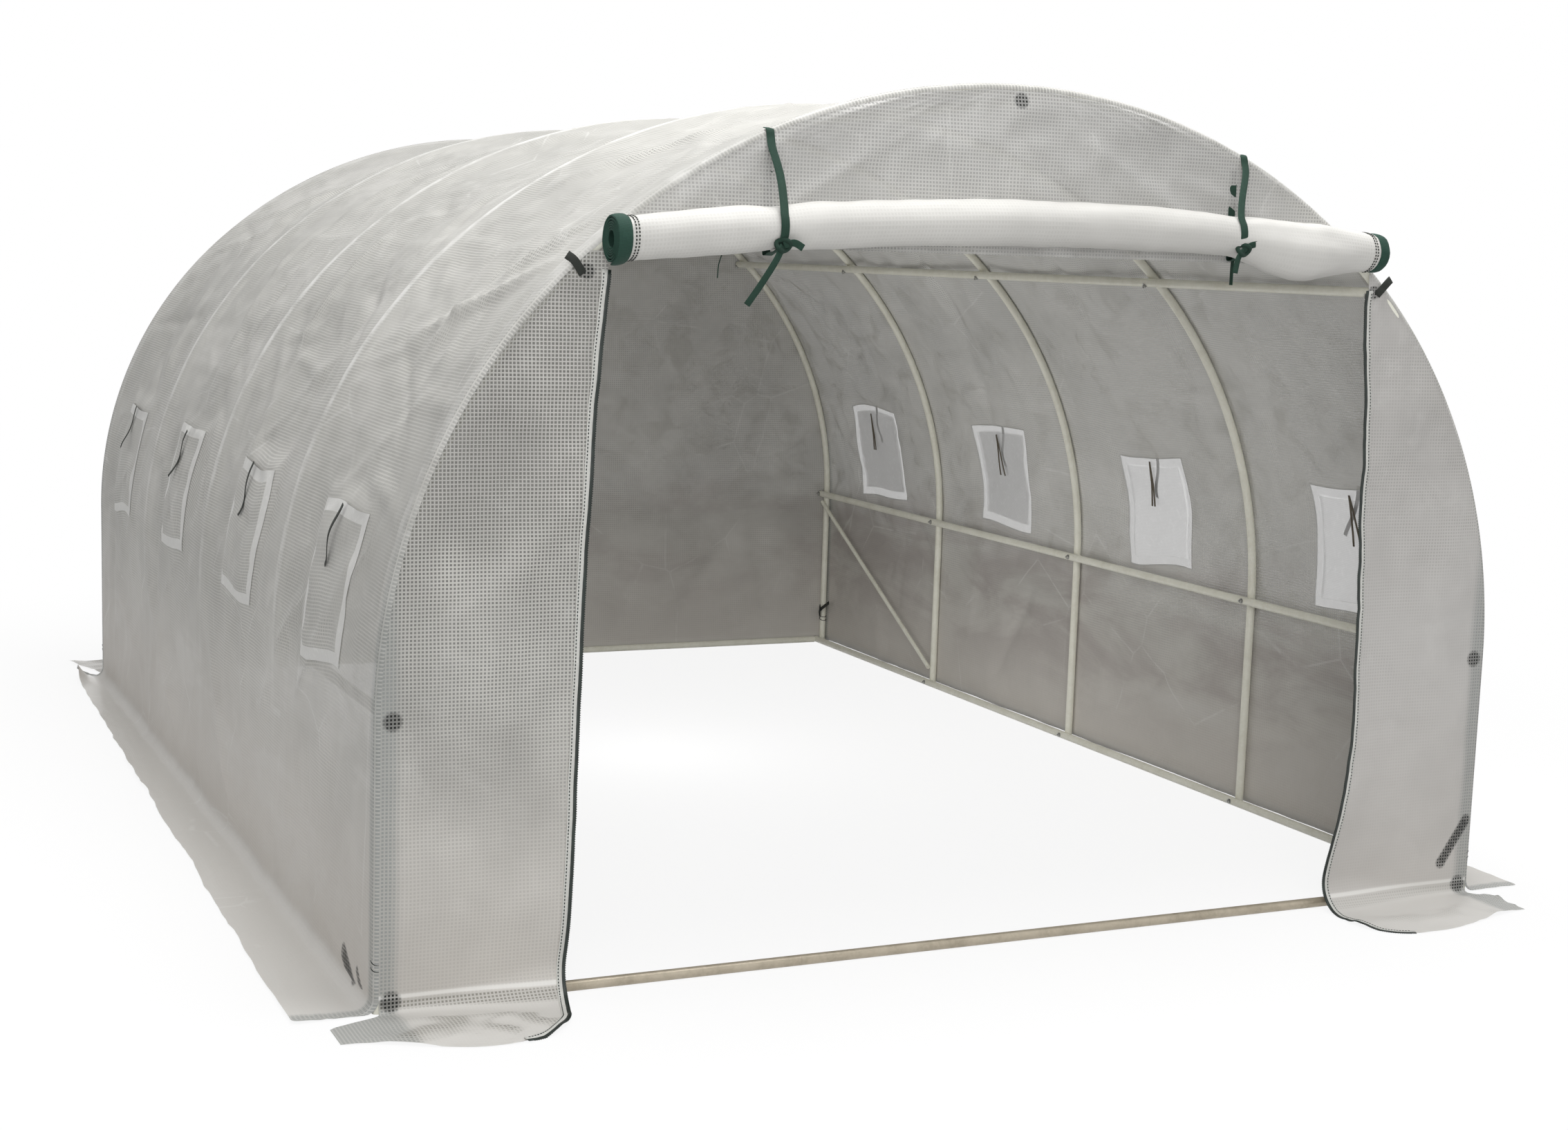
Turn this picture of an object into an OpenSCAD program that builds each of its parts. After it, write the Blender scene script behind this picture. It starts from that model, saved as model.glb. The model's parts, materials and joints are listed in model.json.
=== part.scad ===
// Walk-in polytunnel greenhouse: steel tube hoops, rails and sills under a film cover,
// with a roll-up door in the front end and flapped windows along both sides.
// Millimetres. X runs across the tunnel, +Y from the front end to the rear end, +Z up.
// The origin lies on the ground, in the middle of the tunnel.

/* [Tunnel] */
// Width over the hoop tubes
tunnel_w = 3000; // [2800:10:3400]
// Length from the front hoop to the rear hoop, centre to centre
tunnel_l = 4000; // [3000:10:6000]
// Height over the hoop tubes at the crown
tunnel_h = 2050; // [1950:10:2200]
// Number of bays between the hoops
bays = 4; // [3:1:6]
// Height of the straight legs, where the bows begin
leg_h = 640; // [500:10:680]
// Angle that each side bow turns through on a half-round hoop, in degrees
bow_bend = 45; // [40:1:50]

/* [Frame tubes] */
// Diameter of the hoop, rail and sill tubes
tube_d = 25; // [19:1:32]
// Diameter of the diagonal braces
brace_d = 16; // [12:1:22]
// Drop of a brace's upper end below the top of the leg
brace_drop = 35; // [30:1:60]
// Height of a brace's lower end above the ground
brace_foot = 70; // [50:1:120]
// Thickness of the head of a tube's end plug
plug_t = 3; // [2:0.5:6]
// Distance of a rail's tube joint in front of its hoop
joint_shift = 60; // [30:5:120]
// Number of tubes in each sill
sill_tubes = 3; // [2:1:4]

/* [Cover] */
// Thickness of the film
cover_t = 2; // [1:0.5:4]
// Width of the ground flaps along the sides
side_flap_w = 180; // [120:10:400]
// Width of the ground flaps at the two ends
end_flap_w = 260; // [160:10:400]
// Lap of the strips between the windows into the bands below and above them
seam_w = 10; // [5:1:25]
// Step in each face of the film at these laps
seam_t = 0.2; // [0.1:0.1:0.4]

/* [Door] */
// Width of the doorway between the zips
door_w = 2080; // [1600:10:2200]
// Height of the doorway, up to the foot of the top panel
door_h = 1620; // [1450:10:1640]
// Width of a zip tape
zip_w = 14; // [8:1:25]
// Thickness of a zip tape
zip_t = 3; // [2:0.5:5]
// Height of the middle of the rolled-up door above the doorway
roll_lift = 85; // [85:5:140]
// Radius of the open core of the roll
roll_core = 16; // [14:1:26]
// Spacing of the roll's layers
roll_pitch = 5; // [5:0.5:7]
// Number of layers in the roll
roll_turns = 6; // [4:1:6]
// Clearance between the roll and the top panel
roll_gap = 3; // [2:0.5:8]
// Width of the edge tape at each end of the roll
edge_tape_w = 28; // [15:1:40]
// Distance of each door strap from the middle
strap_x = 640; // [400:10:720]

/* [Windows] */
// Length of a window's net along the tunnel
net_w = 310; // [200:10:400]
// Height of a window's net along the curve of the cover
net_h = 310; // [200:10:400]
// Height of the lower edge of the nets above the top of the legs
net_rise = 70; // [60:5:160]
// Width of the white border around a net
border_w = 30; // [20:1:40]
// Thickness of the net and of its border
net_t = 1; // [0.5:0.1:1.5]
// Thickness of the flap outside a window
flap_t = 1.5; // [1:0.5:3]
// Length of the tie strap that hangs over a window
window_tie_l = 150; // [80:10:220]

/* [Straps] */
// Width of the door straps and of the corner ties
strap_w = 20; // [12:1:30]
// Width of the window ties
window_tie_w = 14; // [8:1:20]
// Thickness of all straps
strap_t = 1.5; // [1:0.5:3]
// Length of the ties along the corner legs
corner_tie_l = 150; // [80:10:240]
// Height of the foot of the corner ties
corner_tie_z = 45; // [35:5:90]
// Length of the tabs outside the top corners of the doorway
tab_l = 45; // [30:5:80]

/* [Hidden] */
$fn = 192;
// Gap between pieces that bear on one another
fit_gap = 0.3;
// Width of the hairline where two tubes meet end to end
joint_gap = 0.4;
// Angle between the points along a rolled or wrapped sheet
sheet_step = 15;
// Length of door sheet that hangs below the top panel before it turns into the roll
door_fold = 10;
// Room that a strap leaves below the fold of the door sheet
strap_room = 4;
// How far a cutting shape reaches past the sheet that it cuts
cut_over = 10;

steel_colour = [0.78, 0.76, 0.68];
film_colour = [0.88, 0.88, 0.86, 0.75];
net_colour = [0.93, 0.93, 0.93];
green_colour = [0.07, 0.20, 0.13];
black_colour = [0.10, 0.10, 0.10];

// Hoop centre line: straight legs, a side bow of side_r and a top bow of top_r on each side.
// The bows meet at a common tangent. The flatter the hoop, the further its side bows turn.
tube_r = tube_d / 2;
half = tunnel_w / 2 - tube_r;
crown = tunnel_h - tube_r;
rise = crown - leg_h;
bow_angle = bow_bend + atan2(half, rise) - 45;
side_c = (half - rise) / (1 - 1 / cos(bow_angle) + tan(bow_angle));
side_r = half - side_c;
top_r = side_r + side_c / cos(bow_angle);
top_z = leg_h - side_c * tan(bow_angle);

// Hoops and the tubes along the tunnel, which lie against the inside of the hoops
bay = tunnel_l / bays;
front_y = -tunnel_l / 2;
rear_y = tunnel_l / 2;
inset = tube_d + fit_gap;
rail_x = half - inset;
purlin_x = side_c + (side_r - inset) * cos(bow_angle);
purlin_z = leg_h + (side_r - inset) * sin(bow_angle);
rail_end = rear_y + tube_r - plug_t;
sill_end = rail_x - tube_r - fit_gap;
brace_x = half - tube_r - fit_gap - brace_d / 2;

// The faces of the cover, as distances from the hoop centre line
c_in = tube_r + fit_gap;
c_out = c_in + cover_t;
sheet_end = rear_y + c_in;
panel_out = rear_y + c_out;
flap_edge = half + c_out + side_flap_w;

// Door roll, in the plane across the sheet: Y and Z
roll_out = roll_core + roll_pitch * roll_turns;
roll_z = door_h + roll_lift;
roll_y = -(panel_out + roll_gap + roll_out + cover_t / 2);
panel_mid = -(sheet_end + cover_t / 2);
roll_half = door_w / 2 - edge_tape_w;

// Window angles on the shoulder, counted from the top of the leg
shoulder_r = side_r + c_in;
net_a0 = arc_angle(shoulder_r, net_rise);
net_a1 = net_a0 + arc_angle(shoulder_r, net_h);
border_a = arc_angle(shoulder_r, border_w);

// Angle of an arc of a given length
function arc_angle(r, length) = length / r * 180 / PI;

// Height of the hoop line, moved outward by off, above a point x across the tunnel
function arch_z(x, off) =
    abs(x) < (top_r + off) * cos(bow_angle)
        ? top_z + sqrt(pow(top_r + off, 2) - x * x)
        : leg_h + sqrt(pow(side_r + off, 2) - pow(abs(x) - side_c, 2));

// Place of a hoop and of the middle of a bay along the tunnel
function hoop_y(i) = front_y + i * bay;
function bay_mid(i) = front_y + (i + 0.5) * bay;

// Offset outline of a sheet that follows a path of points
function seg_normal(a, b) = [a[1] - b[1], b[0] - a[0]] / norm(b - a);
function path_normal(p, i) =
    i == 0 ? seg_normal(p[0], p[1])
    : i == len(p) - 1 ? seg_normal(p[i - 1], p[i])
    : let (n = seg_normal(p[i - 1], p[i]) + seg_normal(p[i], p[i + 1])) 2 * n / (n * n);
function ribbon(p, t) = concat(
    [for (i = [0:len(p) - 1]) p[i] + path_normal(p, i) * t / 2],
    [for (i = [len(p) - 1:-1:0]) p[i] - path_normal(p, i) * t / 2]
);

// Door sheet from the foot of the top panel, under the roll, up its front and inward
roll_path = concat(
    [[panel_mid, door_h], [panel_mid, door_h - door_fold]],
    [
        for (a = [0:sheet_step:360 * roll_turns])
            [roll_y, roll_z] + (roll_out - roll_pitch * a / 360) * [cos(-90 - a), sin(-90 - a)]
    ]
);

// Door strap: down from the front hoop, round the roll, then up inside the top panel
strap_r = roll_out + cover_t / 2 + fit_gap + strap_t / 2;
strap_top = [-(panel_out + fit_gap + strap_t / 2), arch_z(strap_x + strap_w / 2, 0)];
strap_reach = strap_top - [roll_y, roll_z];
strap_a0 = atan2(strap_reach[1], strap_reach[0]) + acos(strap_r / norm(strap_reach));
strap_arc = floor((270 - strap_a0) / sheet_step);
strap_in_y = -sheet_end + fit_gap + strap_t / 2;
strap_low = door_h - door_fold - cover_t - strap_room;
strap_path = concat(
    [strap_top],
    [for (i = [0:strap_arc]) [roll_y, roll_z] + strap_r * [cos(strap_a0 + i * sheet_step), sin(strap_a0 + i * sheet_step)]],
    [
        [roll_y, roll_z - strap_r],
        [strap_in_y, strap_low],
        [strap_in_y, arch_z(strap_x + strap_w / 2, -tube_r - fit_gap)]
    ]
);

// The same thing on the right and, mirrored, on the left
module on_side(side) {
    if (side == "left") mirror([1, 0, 0]) children();
    else children();
}
module both_sides() {
    children();
    mirror([1, 0, 0]) children();
}

// A straight tube along the tunnel, and one across it
module tube_along(x, z, y0, y1, d) {
    translate([x, y0, z]) rotate([-90, 0, 0]) cylinder(d = d, h = y1 - y0);
}
module tube_across(y, z, x0, x1, d) {
    translate([x0, y, z]) rotate([0, 90, 0]) cylinder(d = d, h = x1 - x0);
}

// A bent tube in the plane of a hoop, between two angles above the horizontal
module bow(r, a0, a1) {
    rotate([90, 0, 0]) rotate([0, 0, a0])
        rotate_extrude(angle = a1 - a0) translate([r, 0]) circle(d = tube_d);
}

// A curved sheet along the tunnel, between two angles and two places along it
module curved_sheet(r, t, a0, a1, y0, y1) {
    rotate([90, 0, 0]) rotate([0, 0, a0])
        rotate_extrude(angle = a1 - a0) translate([r, -y1]) square([t, y1 - y0]);
}

// A sheet drawn in Y and Z, and run across the tunnel from x0 to x1
module sheet_across(path, t, x0, x1) {
    translate([x0, 0, 0]) rotate([90, 0, 90])
        linear_extrude(x1 - x0) polygon(ribbon(path, t));
}

// One hoop: two legs, two side bows and two top bows that meet at the ridge
module hoop(i) {
    color(steel_colour) translate([0, hoop_y(i), 0]) both_sides() {
        translate([half, 0, 0]) cylinder(d = tube_d, h = leg_h - joint_gap);
        translate([side_c, 0, leg_h]) bow(side_r, 0, bow_angle - arc_angle(side_r, joint_gap));
        translate([0, 0, top_z]) bow(top_r, bow_angle, 90 - arc_angle(top_r, joint_gap / 2));
    }
}

// A line of tubes along the tunnel, one to a bay
module rail(x, z) {
    joints = concat([-rail_end], [for (i = [1:bays - 1]) hoop_y(i) - joint_shift], [rail_end + joint_gap]);
    color(steel_colour)
        for (i = [0:bays - 1]) tube_along(x, z, joints[i], joints[i + 1] - joint_gap, tube_d);
}

// A line of tubes across one end, on the ground between the ground rails
module sill(y) {
    length = 2 * sill_end / sill_tubes;
    color(steel_colour)
        for (i = [0:sill_tubes - 1])
            tube_across(y, tube_r, i * length - sill_end, (i + 1) * length - sill_end - joint_gap, tube_d);
}

// Diagonal brace of the rear bay, in two tubes
module brace() {
    high = [brace_x, rear_y, leg_h - brace_drop];
    low = [brace_x, hoop_y(bays - 1), brace_foot];
    run = high[1] - low[1];
    lift = high[2] - low[2];
    length = norm(high - low);
    color(steel_colour) translate(low) rotate([atan2(lift, run), 0, 0]) {
        tube_along(0, 0, 0, (length - joint_gap) / 2, brace_d);
        tube_along(0, 0, (length + joint_gap) / 2, length, brace_d);
    }
}

// Plugs in both ends of every tube that runs along the tunnel
module tube_end_plugs() {
    color(black_colour)
        for (end = [-rail_end - plug_t, rail_end]) {
            tube_along(0, crown - inset, end, end + plug_t, tube_d);
            both_sides() {
                tube_along(purlin_x, purlin_z, end, end + plug_t, tube_d);
                tube_along(rail_x, leg_h, end, end + plug_t, tube_d);
                tube_along(rail_x, tube_r, end, end + plug_t, tube_d);
            }
        }
}

// The cover's main sheet: walls beside the legs, shoulders over the side bows, and the roof
module wall_sheet() {
    color(film_colour) translate([half + c_in, -sheet_end, cover_t])
        cube([cover_t, 2 * sheet_end, leg_h - cover_t]);
}
module shoulder_sheet() {
    // strips between the windows, each with its two ends along the tunnel
    strips = [for (i = [0:bays]) [
        i == 0 ? -sheet_end : bay_mid(i - 1) + net_w / 2,
        i == bays ? sheet_end : bay_mid(i) - net_w / 2
    ]];
    lap = arc_angle(shoulder_r, seam_w);
    strip_r = shoulder_r + seam_t;
    strip_t = cover_t - 2 * seam_t;
    color(film_colour) translate([side_c, 0, leg_h]) {
        curved_sheet(shoulder_r, cover_t, 0, net_a0, -sheet_end, sheet_end);
        for (ends = strips)
            curved_sheet(strip_r, strip_t, net_a0 - lap, net_a1 + lap, ends[0], ends[1]);
        curved_sheet(shoulder_r, cover_t, net_a1, bow_angle, -sheet_end, sheet_end);
    }
}
module roof_sheet() {
    color(film_colour) translate([0, 0, top_z])
        curved_sheet(top_r + c_in, cover_t, bow_angle, 180 - bow_angle, -sheet_end, sheet_end);
}

// Area under the hoop line, moved outward by off: beside the legs, the side bows and the top bows
module arch_area(off) {
    joint_z = leg_h + (side_r + off) * sin(bow_angle);
    translate([-(half + off), cover_t]) square([2 * (half + off), leg_h - cover_t]);
    both_sides() intersection() {
        translate([0, leg_h]) square([tunnel_w, joint_z - leg_h]);
        translate([side_c, leg_h]) circle(side_r + off);
    }
    intersection() {
        translate([-tunnel_w, joint_z]) square([2 * tunnel_w, tunnel_h]);
        translate([0, top_z]) circle(top_r + off);
    }
}

// End panels: a whole one at the rear, and side and top panels round the doorway
module end_sheet(y) {
    color(film_colour) translate([0, y, 0]) rotate([90, 0, 0]) linear_extrude(cover_t) children();
}
module rear_panel() {
    end_sheet(panel_out) arch_area(c_out);
}
module front_side_panel() {
    edge = door_w / 2 + zip_w;
    end_sheet(-sheet_end) intersection() {
        arch_area(c_out);
        translate([edge, 0]) square([tunnel_w, tunnel_h]);
    }
}
module front_top_panel() {
    end_sheet(-sheet_end) intersection() {
        arch_area(c_out);
        translate([-door_w / 2, door_h]) square([door_w, tunnel_h]);
    }
}

// Ground flaps: strips of the cover that lie on the ground outside the walls
module side_ground_flap() {
    color(film_colour) translate([half + c_in, -sheet_end, 0])
        cube([flap_edge - half - c_in, 2 * sheet_end, cover_t]);
}
module front_ground_flap() {
    color(film_colour) translate([door_w / 2, -panel_out - end_flap_w, 0])
        cube([flap_edge - door_w / 2, cover_t + end_flap_w, cover_t]);
}
module rear_ground_flap() {
    color(film_colour) translate([-flap_edge, sheet_end, 0])
        cube([2 * flap_edge, cover_t + end_flap_w, cover_t]);
}

// Zip tape up the side of the doorway and of the top panel, as far as the hoop
module zip() {
    color(black_colour) translate([door_w / 2, -sheet_end - zip_t, cover_t])
        cube([zip_w, zip_t, arch_z(door_w / 2 + zip_w, c_in) - cover_t]);
}

// The rolled-up door, its edge tapes and the straps that hold it
module door_roll() {
    color(film_colour) sheet_across(roll_path, cover_t, -roll_half, roll_half);
}
module door_edge_tapes() {
    color(green_colour) both_sides()
        sheet_across(roll_path, cover_t, roll_half, roll_half + edge_tape_w);
}
module door_strap() {
    color(green_colour) sheet_across(strap_path, strap_t, strap_x - strap_w / 2, strap_x + strap_w / 2);
}

// Windows: one in the middle of each bay, on the shoulder
module at_windows() {
    for (i = [0:bays - 1]) translate([side_c, bay_mid(i), leg_h]) children();
}
module window_nets() {
    color(net_colour) at_windows()
        curved_sheet(shoulder_r + (cover_t - net_t) / 2, net_t, net_a0, net_a1, -net_w / 2, net_w / 2);
}
module window_borders() {
    out_w = net_w / 2 + border_w;
    color(net_colour) at_windows() difference() {
        curved_sheet(shoulder_r - fit_gap - net_t, net_t, net_a0 - border_a, net_a1 + border_a, -out_w, out_w);
        curved_sheet(shoulder_r - cut_over, 2 * cut_over, net_a0, net_a1, -net_w / 2, net_w / 2);
    }
}
module window_flaps() {
    out_w = net_w / 2 + border_w;
    color(film_colour) at_windows()
        curved_sheet(shoulder_r + cover_t + fit_gap, flap_t, net_a0 - border_a, net_a1 + border_a, -out_w, out_w);
}
module window_ties() {
    out_r = shoulder_r + cover_t + 2 * fit_gap + flap_t;
    in_r = shoulder_r - 2 * fit_gap - net_t - strap_t;
    top = net_a1 + border_a;
    color(green_colour) at_windows()
        for (r = [out_r, in_r])
            curved_sheet(r, strap_t, top - arc_angle(r, window_tie_l), top, -window_tie_w / 2, window_tie_w / 2);
}

// Ties inside the four corner legs, and tabs outside the top corners of the doorway
module corner_ties() {
    color(green_colour) both_sides()
        for (y = [front_y, rear_y])
            translate([half - tube_r - fit_gap - strap_t, y - strap_w / 2, corner_tie_z])
                cube([strap_t, strap_w, corner_tie_l]);
}
module door_corner_tabs() {
    tab_x = door_w / 2 + zip_w + strap_w / 2;
    tab_top = arch_z(tab_x + strap_w, -tube_r);
    color(green_colour) both_sides()
        translate([tab_x, -panel_out - fit_gap - strap_t, tab_top - tab_l])
            cube([strap_w, strap_t, tab_l]);
}

for (i = [0:bays]) hoop(i);
rail(0, crown - inset);  // ridge_purlin
rail(-purlin_x, purlin_z);  // left_upper_purlin
rail(purlin_x, purlin_z);  // right_upper_purlin
rail(-rail_x, leg_h);  // left_side_rail
rail(rail_x, leg_h);  // right_side_rail
rail(-rail_x, tube_r);  // left_ground_rail
rail(rail_x, tube_r);  // right_ground_rail
sill(front_y);  // front_sill
sill(rear_y);  // rear_sill
on_side("left") brace();  // left_brace
on_side("right") brace();  // right_brace
tube_end_plugs();
on_side("left") wall_sheet();  // left_wall_sheet
on_side("left") shoulder_sheet();  // left_shoulder_sheet
roof_sheet();
on_side("right") shoulder_sheet();  // right_shoulder_sheet
on_side("right") wall_sheet();  // right_wall_sheet
rear_panel();
on_side("left") front_side_panel();  // front_left_panel
on_side("right") front_side_panel();  // front_right_panel
front_top_panel();
on_side("left") side_ground_flap();  // left_ground_flap
on_side("right") side_ground_flap();  // right_ground_flap
both_sides() front_ground_flap();  // front_ground_flaps
rear_ground_flap();
both_sides() zip();  // door_zips
door_roll();
door_edge_tapes();
on_side("left") door_strap();  // left_door_strap
on_side("right") door_strap();  // right_door_strap
on_side("left") window_nets();  // left_window_nets
on_side("right") window_nets();  // right_window_nets
on_side("left") window_borders();  // left_window_borders
on_side("right") window_borders();  // right_window_borders
on_side("left") window_flaps();  // left_window_flaps
on_side("right") window_flaps();  // right_window_flaps
on_side("left") window_ties();  // left_window_ties
on_side("right") window_ties();  // right_window_ties
corner_ties();
door_corner_tabs();
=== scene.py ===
import json
import math
from itertools import product
import bpy
import numpy as np
from mathutils import Matrix, Vector

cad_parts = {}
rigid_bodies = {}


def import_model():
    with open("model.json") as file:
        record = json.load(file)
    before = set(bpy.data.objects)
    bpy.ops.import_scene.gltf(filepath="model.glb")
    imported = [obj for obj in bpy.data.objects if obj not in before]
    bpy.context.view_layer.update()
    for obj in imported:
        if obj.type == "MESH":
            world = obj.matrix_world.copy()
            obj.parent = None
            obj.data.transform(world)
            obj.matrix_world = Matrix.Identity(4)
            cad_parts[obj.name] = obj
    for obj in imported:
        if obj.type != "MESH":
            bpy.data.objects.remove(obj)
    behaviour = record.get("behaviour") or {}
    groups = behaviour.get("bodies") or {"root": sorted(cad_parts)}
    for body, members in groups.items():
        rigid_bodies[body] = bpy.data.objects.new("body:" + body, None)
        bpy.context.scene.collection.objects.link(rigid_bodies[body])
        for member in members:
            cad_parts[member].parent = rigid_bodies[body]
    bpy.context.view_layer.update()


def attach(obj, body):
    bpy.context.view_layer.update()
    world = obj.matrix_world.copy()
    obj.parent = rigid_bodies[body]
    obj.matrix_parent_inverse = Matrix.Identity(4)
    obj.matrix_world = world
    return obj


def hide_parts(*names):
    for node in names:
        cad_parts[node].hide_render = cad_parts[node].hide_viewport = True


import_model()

# Sizes of the frame in metres, as in the part's source
TUBE_R = 0.0125
HALF = 1.5 - TUBE_R
LEG = 0.64
CROWN = 2.05 - TUBE_R
RISE = CROWN - LEG
BOW = math.atan2(HALF, RISE)
SIDE_C = (HALF - RISE) / (1 - 1 / math.cos(BOW) + math.tan(BOW))
SIDE_R = HALF - SIDE_C
TOP_R = SIDE_R + SIDE_C / math.cos(BOW)
TOP_Z = LEG - SIDE_C * math.tan(BOW)
FRONT, REAR = -2.0, 2.0
BAYS = 4
INSET = 0.0253
PURLIN_X = SIDE_C + (SIDE_R - INSET) * math.cos(BOW)
PURLIN_Z = LEG + (SIDE_R - INSET) * math.sin(BOW)
DOOR_HALF = 1.04
ROLL_Y, ROLL_Z, ROLL_R = -2.0648, 1.705, 0.046
STRAP_X = 0.63
LOW_STRAP = {-1: -0.63, 1: 0.568}
SIDES = ((-1, "left"), (1, "right"))

# The film lies this far from the centre line of the hoops, and its panels reach this far past it
FILM = 0.0138
PANEL_Y = FRONT - FILM
LAP = 0.001
FLAP_END = 0.262
LYING_Z = 0.0018

# Lengths along a hoop from its left foot, at the ends of its arcs
G1 = LEG
G2 = G1 + SIDE_R * BOW
G3 = G2 + TOP_R * (math.pi - 2 * BOW)
G4 = G3 + SIDE_R * BOW
GIRTH = G4 + LEG

# Windows, by the girth of their lower and upper edges and half their width
NET_S0 = LEG + 0.070 * SIDE_R / (SIDE_R + FILM)
NET_S1 = NET_S0 + 0.31 * SIDE_R / (SIDE_R + FILM)
NET_MID = (NET_S0 + NET_S1) / 2
NET_W = 0.155
BORDER = 0.030

# Width and thickness of the webbing
STRAP_SIZE = (0.020, 0.0016)
TAIL_SIZE = (0.016, 0.0016)
TIE_SIZE = (0.014, 0.0016)
INNER_TIE_SIZE = (0.008, 0.0014)
TAB_SIZE = (0.020, 0.0030)

rng = np.random.default_rng(20)


# Noise and folds
def paired(a, b):
    """Two arrays of one shape."""
    return np.broadcast_arrays(np.asarray(a, float), np.asarray(b, float))


def lattice(a, b):
    """All pairs of two rows of values."""
    return np.meshgrid(a, b, indexing="ij")


def noise(x, y, seed):
    """Gradient noise in the plane, from about -1 to 1."""
    x, y = paired(x, y)
    xi, yi = np.floor(x).astype(np.int64), np.floor(y).astype(np.int64)
    xf, yf = x - xi, y - yi

    def corner(i, j):
        h = ((xi + i) * 374761393 + (yi + j) * 668265263 + seed * 974634777) & 0xFFFFFFFF
        h = ((h ^ (h >> 13)) * 1274126177) & 0xFFFFFFFF
        a = (h ^ (h >> 16)) * (2 * math.pi / 2 ** 32)
        return np.cos(a) * (xf - i) + np.sin(a) * (yf - j)

    u, v = (t * t * t * (t * (t * 6 - 15) + 10) for t in (xf, yf))
    low = corner(0, 0) * (1 - u) + corner(1, 0) * u
    high = corner(0, 1) * (1 - u) + corner(1, 1) * u
    return 1.5 * (low * (1 - v) + high * v)


def crumple(x, y, seed):
    """Sharp ridges between smooth dents, from -1 to 1."""
    wx = x + 0.35 * noise(x * 0.7, y * 0.7, seed + 5)
    wy = y + 0.35 * noise(x * 0.7, y * 0.7, seed + 6)
    big = 1 - 2.6 * np.abs(noise(wx, wy, seed))
    small = 1 - 2.6 * np.abs(noise(wx * 2.3, wy * 2.3, seed + 1))
    return 0.65 * big + 0.35 * small


def smooth(x, a, b):
    t = np.clip((x - a) / (b - a), 0, 1)
    return t * t * (3 - 2 * t)


def fold(x, y, x0, y0, x1, y1, width, height):
    """A ridge of that height along the line between two points."""
    dx, dy = x1 - x0, y1 - y0
    n2 = dx * dx + dy * dy
    t = np.clip(((x - x0) * dx + (y - y0) * dy) / n2, 0, 1)
    d = np.hypot(x - x0 - t * dx, y - y0 - t * dy) / width
    return height * np.exp(-d ** 1.4) * np.sin(math.pi * np.clip(t, 0.02, 0.98)) ** 0.6


# The line of the hoops
def arch(s):
    """Centre line of a hoop at the girth s from the left foot: x, z and the outward normal."""
    s = np.asarray(s, float)
    zones = [s < G1, s < G2, s < G3, s < G4]
    a = np.select(zones, [np.full_like(s, math.pi), math.pi - (s - G1) / SIDE_R,
                          math.pi - BOW - (s - G2) / TOP_R, BOW - (s - G3) / SIDE_R], 0.0)
    nx, nz = np.cos(a), np.sin(a)
    x = np.select(zones, [-HALF + 0 * s, -SIDE_C + SIDE_R * nx, TOP_R * nx, SIDE_C + SIDE_R * nx], HALF)
    z = np.select(zones, [s, LEG + SIDE_R * nz, TOP_Z + TOP_R * nz, LEG + SIDE_R * nz], GIRTH - s)
    return x, z, nx, nz


def panel_half(z):
    """Half width of an end panel at the height z, a lap past the hoop line."""
    side = SIDE_C + np.sqrt(np.clip((SIDE_R + LAP) ** 2 - (z - LEG) ** 2, 0, None))
    top = np.sqrt(np.clip((TOP_R + LAP) ** 2 - (z - TOP_Z) ** 2, 0, None))
    joint = LEG + (SIDE_R + LAP) * math.sin(BOW)
    return np.where(z < LEG, HALF + LAP, np.where(z < joint, side, top))


def from_foot(g, right):
    """Girth from the left foot, for one that is measured from either foot."""
    return GIRTH - g if right else g


# Sag of the film at some girths, and its share in each bay
SAG_AT = [0, 0.3, 0.6, 1.0, 1.4, G2, 2.3, 2.7, GIRTH / 2]
SAG_BY = [0.002, 0.008, 0.008, 0.024, 0.030, 0.020, 0.040, 0.030, 0.018]
BAY_SAG = [1.0, 1.2, 0.85, 1.1]
FOLDS = []


def keep_fold(ends, from_right, width, height):
    """Keeps a fold by the girth and length at both ends, with girths from either foot."""
    s0, y0, s1, y1 = ends
    s0, s1 = (from_foot(s, from_right) for s in (s0, s1))
    FOLDS.append((s0, y0, s1, y1, width, height))


def add_fold(ends, from_right, widths, ways, heights):
    """Keeps a fold of a random width, way and height."""
    keep_fold(ends, from_right, rng.uniform(*widths), rng.choice(ways) * rng.uniform(*heights))


for bay, right in product(range(BAYS), (False, True)):
    start = FRONT + bay
    # short folds, most of them from a hoop
    for n in range(16):
        g = rng.uniform(0.75, 2.8)
        at_hoop = start + rng.choice([0.03, 0.97])
        y0 = at_hoop if n < 9 else start + rng.uniform(0.15, 0.85)
        way = 1 if y0 < start + 0.5 else -1
        length, slope = rng.uniform(0.25, 0.75), rng.uniform(-1.1, 1.1)
        ends = (g, y0, g + length * math.sin(slope), y0 + way * length * math.cos(slope))
        add_fold(ends, right, (0.012, 0.030), [1, 1, -1], (0.003, 0.009))
    # long folds up the shoulder
    for n in range(4):
        y0 = start + 0.16 + 0.22 * n + rng.uniform(-0.06, 0.06)
        s0, s1 = rng.uniform(0.75, 1.1), rng.uniform(1.7, 2.5)
        ends = (s0, y0, s1, y0 + rng.uniform(-0.15, 0.15))
        add_fold(ends, right, (0.020, 0.045), [1, -1], (0.003, 0.008))
    # low folds up the wall
    for n in range(2):
        y0 = start + rng.uniform(0.08, 0.92)
        s0, s1 = rng.uniform(0.02, 0.1), rng.uniform(0.5, 1.0)
        ends = (s0, y0, s1, y0 + rng.uniform(-0.22, 0.22))
        add_fold(ends, right, (0.015, 0.035), [1, 1, -1], (0.002, 0.005))

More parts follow.
